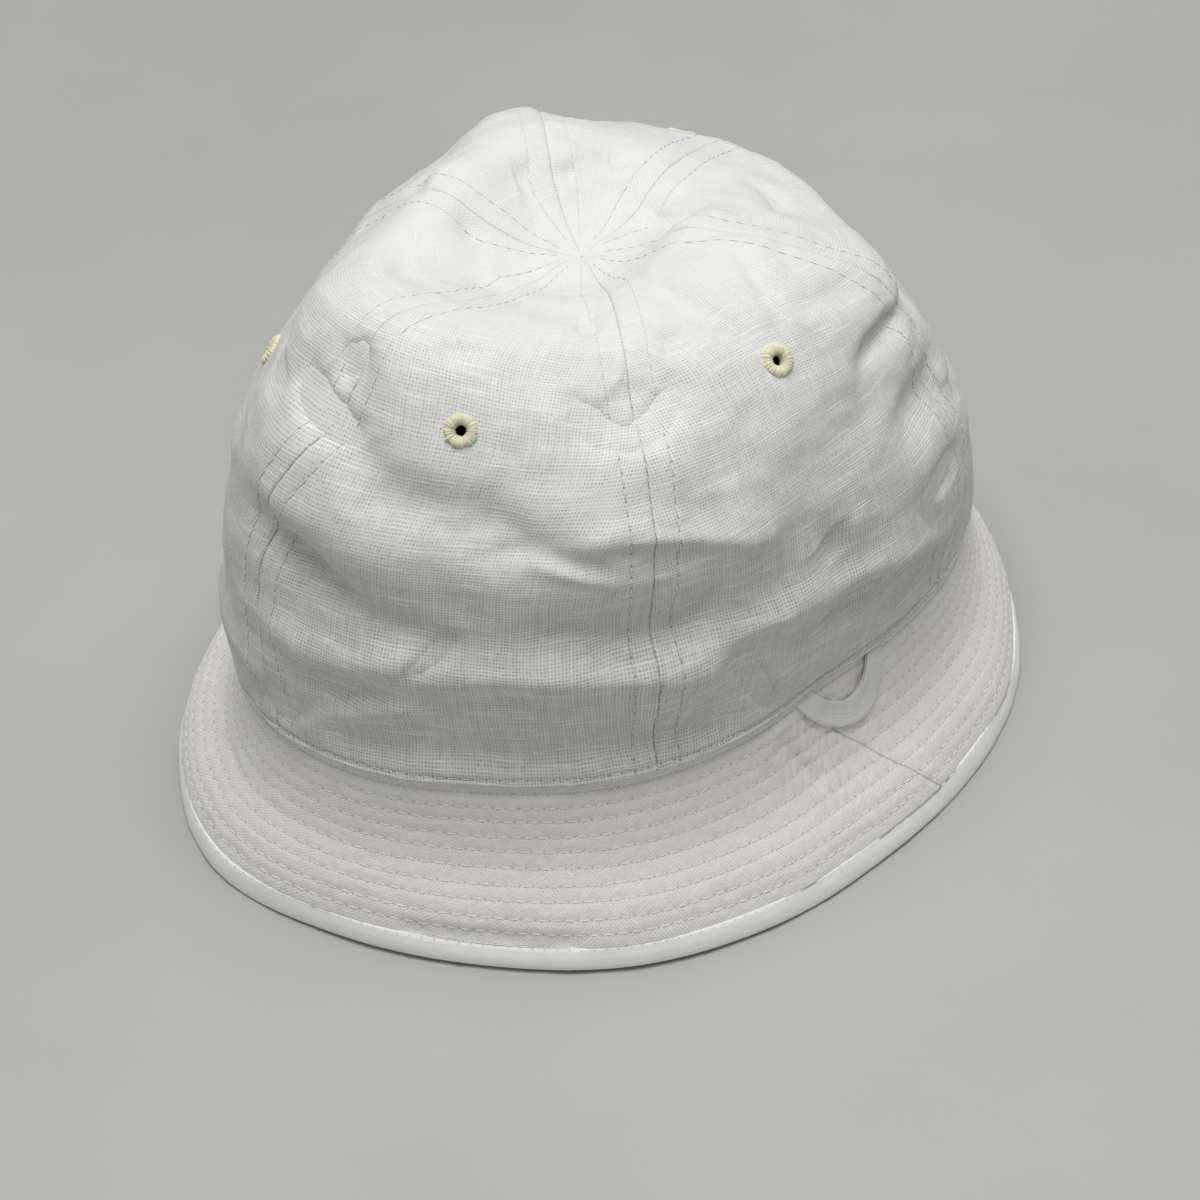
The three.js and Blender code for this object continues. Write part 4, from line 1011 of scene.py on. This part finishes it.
# ------------------------------------------------------------------ eyelets
def eyelet(k):
    """Buttonhole thread wound round a punched hole, on both faces of the cloth."""
    rng = np.random.default_rng(40 + k)
    az, up = np.array(EYELETS["az"][k]), np.array(EYELETS["up"][k])
    centre = crown_outside(az, up)
    n = unit(normal_of(crown_outside, az, up, 2.2, 0.02))
    x = unit(np.cross(np.array([0.0, 0.0, 1.0]), n))
    y = np.cross(n, x)
    threads = 42
    per = 7
    turn = np.arange(threads * per) * 2 * np.pi / (threads * per)
    which = np.repeat(np.arange(threads), per)
    inside = np.tile(np.arange(per) / per, threads)
    ridge = np.abs(np.sin(np.pi * inside)) ** 0.6
    long_by = rng.normal(0, 0.13, threads)[which]
    thick_by = rng.normal(0, 0.07, threads)[which]
    gap_at = 0.55 + 0.9 * k
    parted = np.exp(-((np.angle(np.exp(1j * (turn - gap_at))) / 0.075) ** 2))
    # section from the outer foot over the ring, down the hole and under
    section = columns(
        "r h",
        (3.98, -0.25), (3.98, 0.15), (3.84, 0.52), (3.50, 0.86), (3.02, 1.04), (2.46, 1.02), (1.96, 0.82),
        (1.60, 0.46), (1.36, 0.02), (1.26, -0.60), (1.36, -1.25), (1.60, -1.70), (1.96, -2.05), (2.46, -2.25),
        (3.08, -2.26), (3.52, -2.05), (3.84, -1.72), (3.98, -1.35), (3.96, -0.95),
    )
    lift = np.array([0, .4, .8, 1, 1, 1, 1, 1, .8, .6, .8, 1, 1, 1, 1, 1, .8, .4, 0])
    rr, hh = section["r"], section["h"]
    mid_r, mid_h = 2.7, -0.6
    dr, dh = rr - mid_r, (hh - mid_h)
    size = np.hypot(dr, dh)
    out_r, out_h = dr / size, dh / size
    grow = (0.20 * (ridge - 0.6)[:, None] + thick_by[:, None] - 0.35 * parted[:, None]) * lift[None, :]
    r = rr[None, :] + out_r[None, :] * grow + np.where(rr > 3.7, 1.0, 0.0)[None, :] * (long_by[:, None] + 0.10 * (ridge[:, None] - 0.5))
    r = np.maximum(r, 1.0)
    h = hh[None, :] + out_h[None, :] * grow
    twist = 0.05 * rng.normal(0, 1, threads)[which][:, None] * ((rr - 1.3) / 2.7)[None, :]
    angle = turn[:, None] + twist
    points = (centre + x * (r * np.cos(angle))[..., None] + y * (r * np.sin(angle))[..., None] + n * h[..., None])
    rows = len(turn)
    ringed = grid_faces(rows + 1, len(rr), close=True, flip=True) % (rows * len(rr))
    return piece(f"eyelet_thread_{k + 1}", points.reshape(-1, 3), ringed.tolist(), EYELET_THREAD, None,
                 [f"eyelet_{k + 1}"])


# --------------------------------------------------------------------- loop
def on_brim_at(q):
    """Azimuth and share down the brim of points near it."""
    dz = (SEAM_Z - q[:, 2]) / SEAM_Z
    s = dz.copy()
    for _ in range(12):
        s = np.clip(s + dz - along(BRIM, "drop", s), 0.004, 1)
    return np.degrees(np.arctan2(q[:, 0] - AXIS_X, -(q[:, 1] - AXIS_Y))), s


def loop():
    steps = 110
    t = np.linspace(0, 1, steps + 1)
    outer = brim_outside(along(LOOP, "az_out", t), along(LOOP, "down_out", t))
    inner = brim_outside(along(LOOP, "az_in", t), along(LOOP, "down_in", t))
    # section: two layers folded together, edges rounded, a groove between them
    section = columns(
        "side lift",
        (1.00, 0.42), (1.03, 0.70), (0.95, 0.90), (1.04, 1.10), (1.03, 1.36), (0.96, 1.58), (0.84, 1.66),
        (0.6, 1.58), (0.3, 1.50), (0.0, 1.48), (-0.3, 1.50), (-0.6, 1.58), (-0.84, 1.66), (-0.96, 1.58),
        (-1.03, 1.36), (-1.04, 1.10), (-0.95, 0.90), (-1.03, 0.70), (-1.00, 0.42), (-0.5, 0.34), (0.5, 0.34),
    )
    near_end = smooth(np.minimum(t, 1 - t) / 0.16)
    stand = 0.75 * np.exp(-(((t - 0.72) / 0.16) ** 2))      # the right leg stands off the brim a little
    points = []
    for side, lift in zip(section["side"], section["lift"]):
        share = 0.5 + side / 2
        q = inner + (outer - inner) * share
        a, s = on_brim_at(q)
        rough = 0.12 * noise(t * 9 + 2 * side, lift * 0.5, 0.0, 61) + 0.05 * noise(t * 30, side * 3, 1.0, 62)
        tilt = stand * (0.5 - 0.5 * side)
        height = (lift * (0.45 + 0.55 * near_end) + rough * near_end + tilt)
        points.append(brim_outside(a, s) + brim_normal(a, s) * height[:, None])
    points = np.stack(points, 1)
    cols = len(section["side"])
    faces = grid_faces(steps + 1, cols, close=True, flip=True).tolist()
    faces.append(list(range(cols))[::-1])
    faces.append(list(range(steps * cols, (steps + 1) * cols)))
    middle = (outer + inner) / 2
    length = np.concatenate([[0], np.cumsum(np.linalg.norm(np.diff(middle, axis=0), axis=-1))])
    uv = np.stack([np.repeat(length, cols), np.tile(section["side"] * 3.1, steps + 1)], -1)
    piece("loop_strip", points.reshape(-1, 3), faces, LOOP_LINEN, {"weave": uv}, ["hanging_loop"])


for panel in range(6):
    crown_panel(panel)
    eyelet(panel)
brim()
brim_stitches()
seam_stitches()
binding()
loop()


# ------------------------------------------------------- floor, light, view
def floor():
    look = Look("floor", 0.85)
    place = look.place()
    cloudy = look.noise(place, 3.0, 5.0, 0.6)
    colour = look.mix(look.step(cloudy, 0.25, 0.75), (0.40, 0.398, 0.385), (0.455, 0.452, 0.438))
    look.finish(colour, look.noise(place, 220.0, 3.0, 0.6), 0.0002, 0.3)
    mesh = bpy.data.meshes.new("floor")
    mesh.from_pydata([(-4, -4, 0), (4, -4, 0), (4, 4, 0), (-4, 4, 0)], [], [(0, 1, 2, 3)])
    mesh.materials.append(look.mat)
    obj = bpy.data.objects.new("floor", mesh)
    bpy.context.scene.collection.objects.link(obj)


def lamp(name, place, size, power, colour=(1, 1, 1)):
    data = bpy.data.lights.new(name, "AREA")
    data.shape = "RECTANGLE"
    data.size, data.size_y = size
    data.energy = power
    data.color = colour
    obj = bpy.data.objects.new(name, data)
    bpy.context.scene.collection.objects.link(obj)
    obj.location = place
    obj.rotation_mode = "QUATERNION"
    obj.rotation_quaternion = (Vector((0, 0, 0.08)) - Vector(place)).to_track_quat("-Z", "Y")


def studio():
    floor()
    world = bpy.data.worlds.new("studio")
    world.use_nodes = True
    background = world.node_tree.nodes["Background"]
    background.inputs["Color"].default_value = (0.97, 0.985, 1.0, 1)
    background.inputs["Strength"].default_value = 0.31
    bpy.context.scene.world = world
    lamp("overhead", (0.06, -0.17, 1.7), (1.1, 1.1), 25.6, (1.0, 0.997, 0.99))
    bpy.context.scene.view_settings.view_transform = "Standard"
    bpy.context.scene.view_settings.look = "None"


def camera():
    up, roll = math.radians(40.0), math.radians(4.5)
    target = Vector((1.03, -36.55, 60.0)) * MM
    back = Vector((0, -math.cos(up), math.sin(up)))
    right = Vector((1, 0, 0))
    top = (-back).cross(right) * -1
    side = right * math.cos(roll) - top * math.sin(roll)
    head = right * math.sin(roll) + top * math.cos(roll)
    data = bpy.data.cameras.new("view")
    data.sensor_width = 36.0
    data.lens = 108.0
    obj = bpy.data.objects.new("view", data)
    bpy.context.scene.collection.objects.link(obj)
    m = Matrix((side, head, back)).transposed().to_4x4()
    m.translation = target + back * 0.9
    obj.matrix_world = m
    bpy.context.scene.camera = obj


studio()
camera()
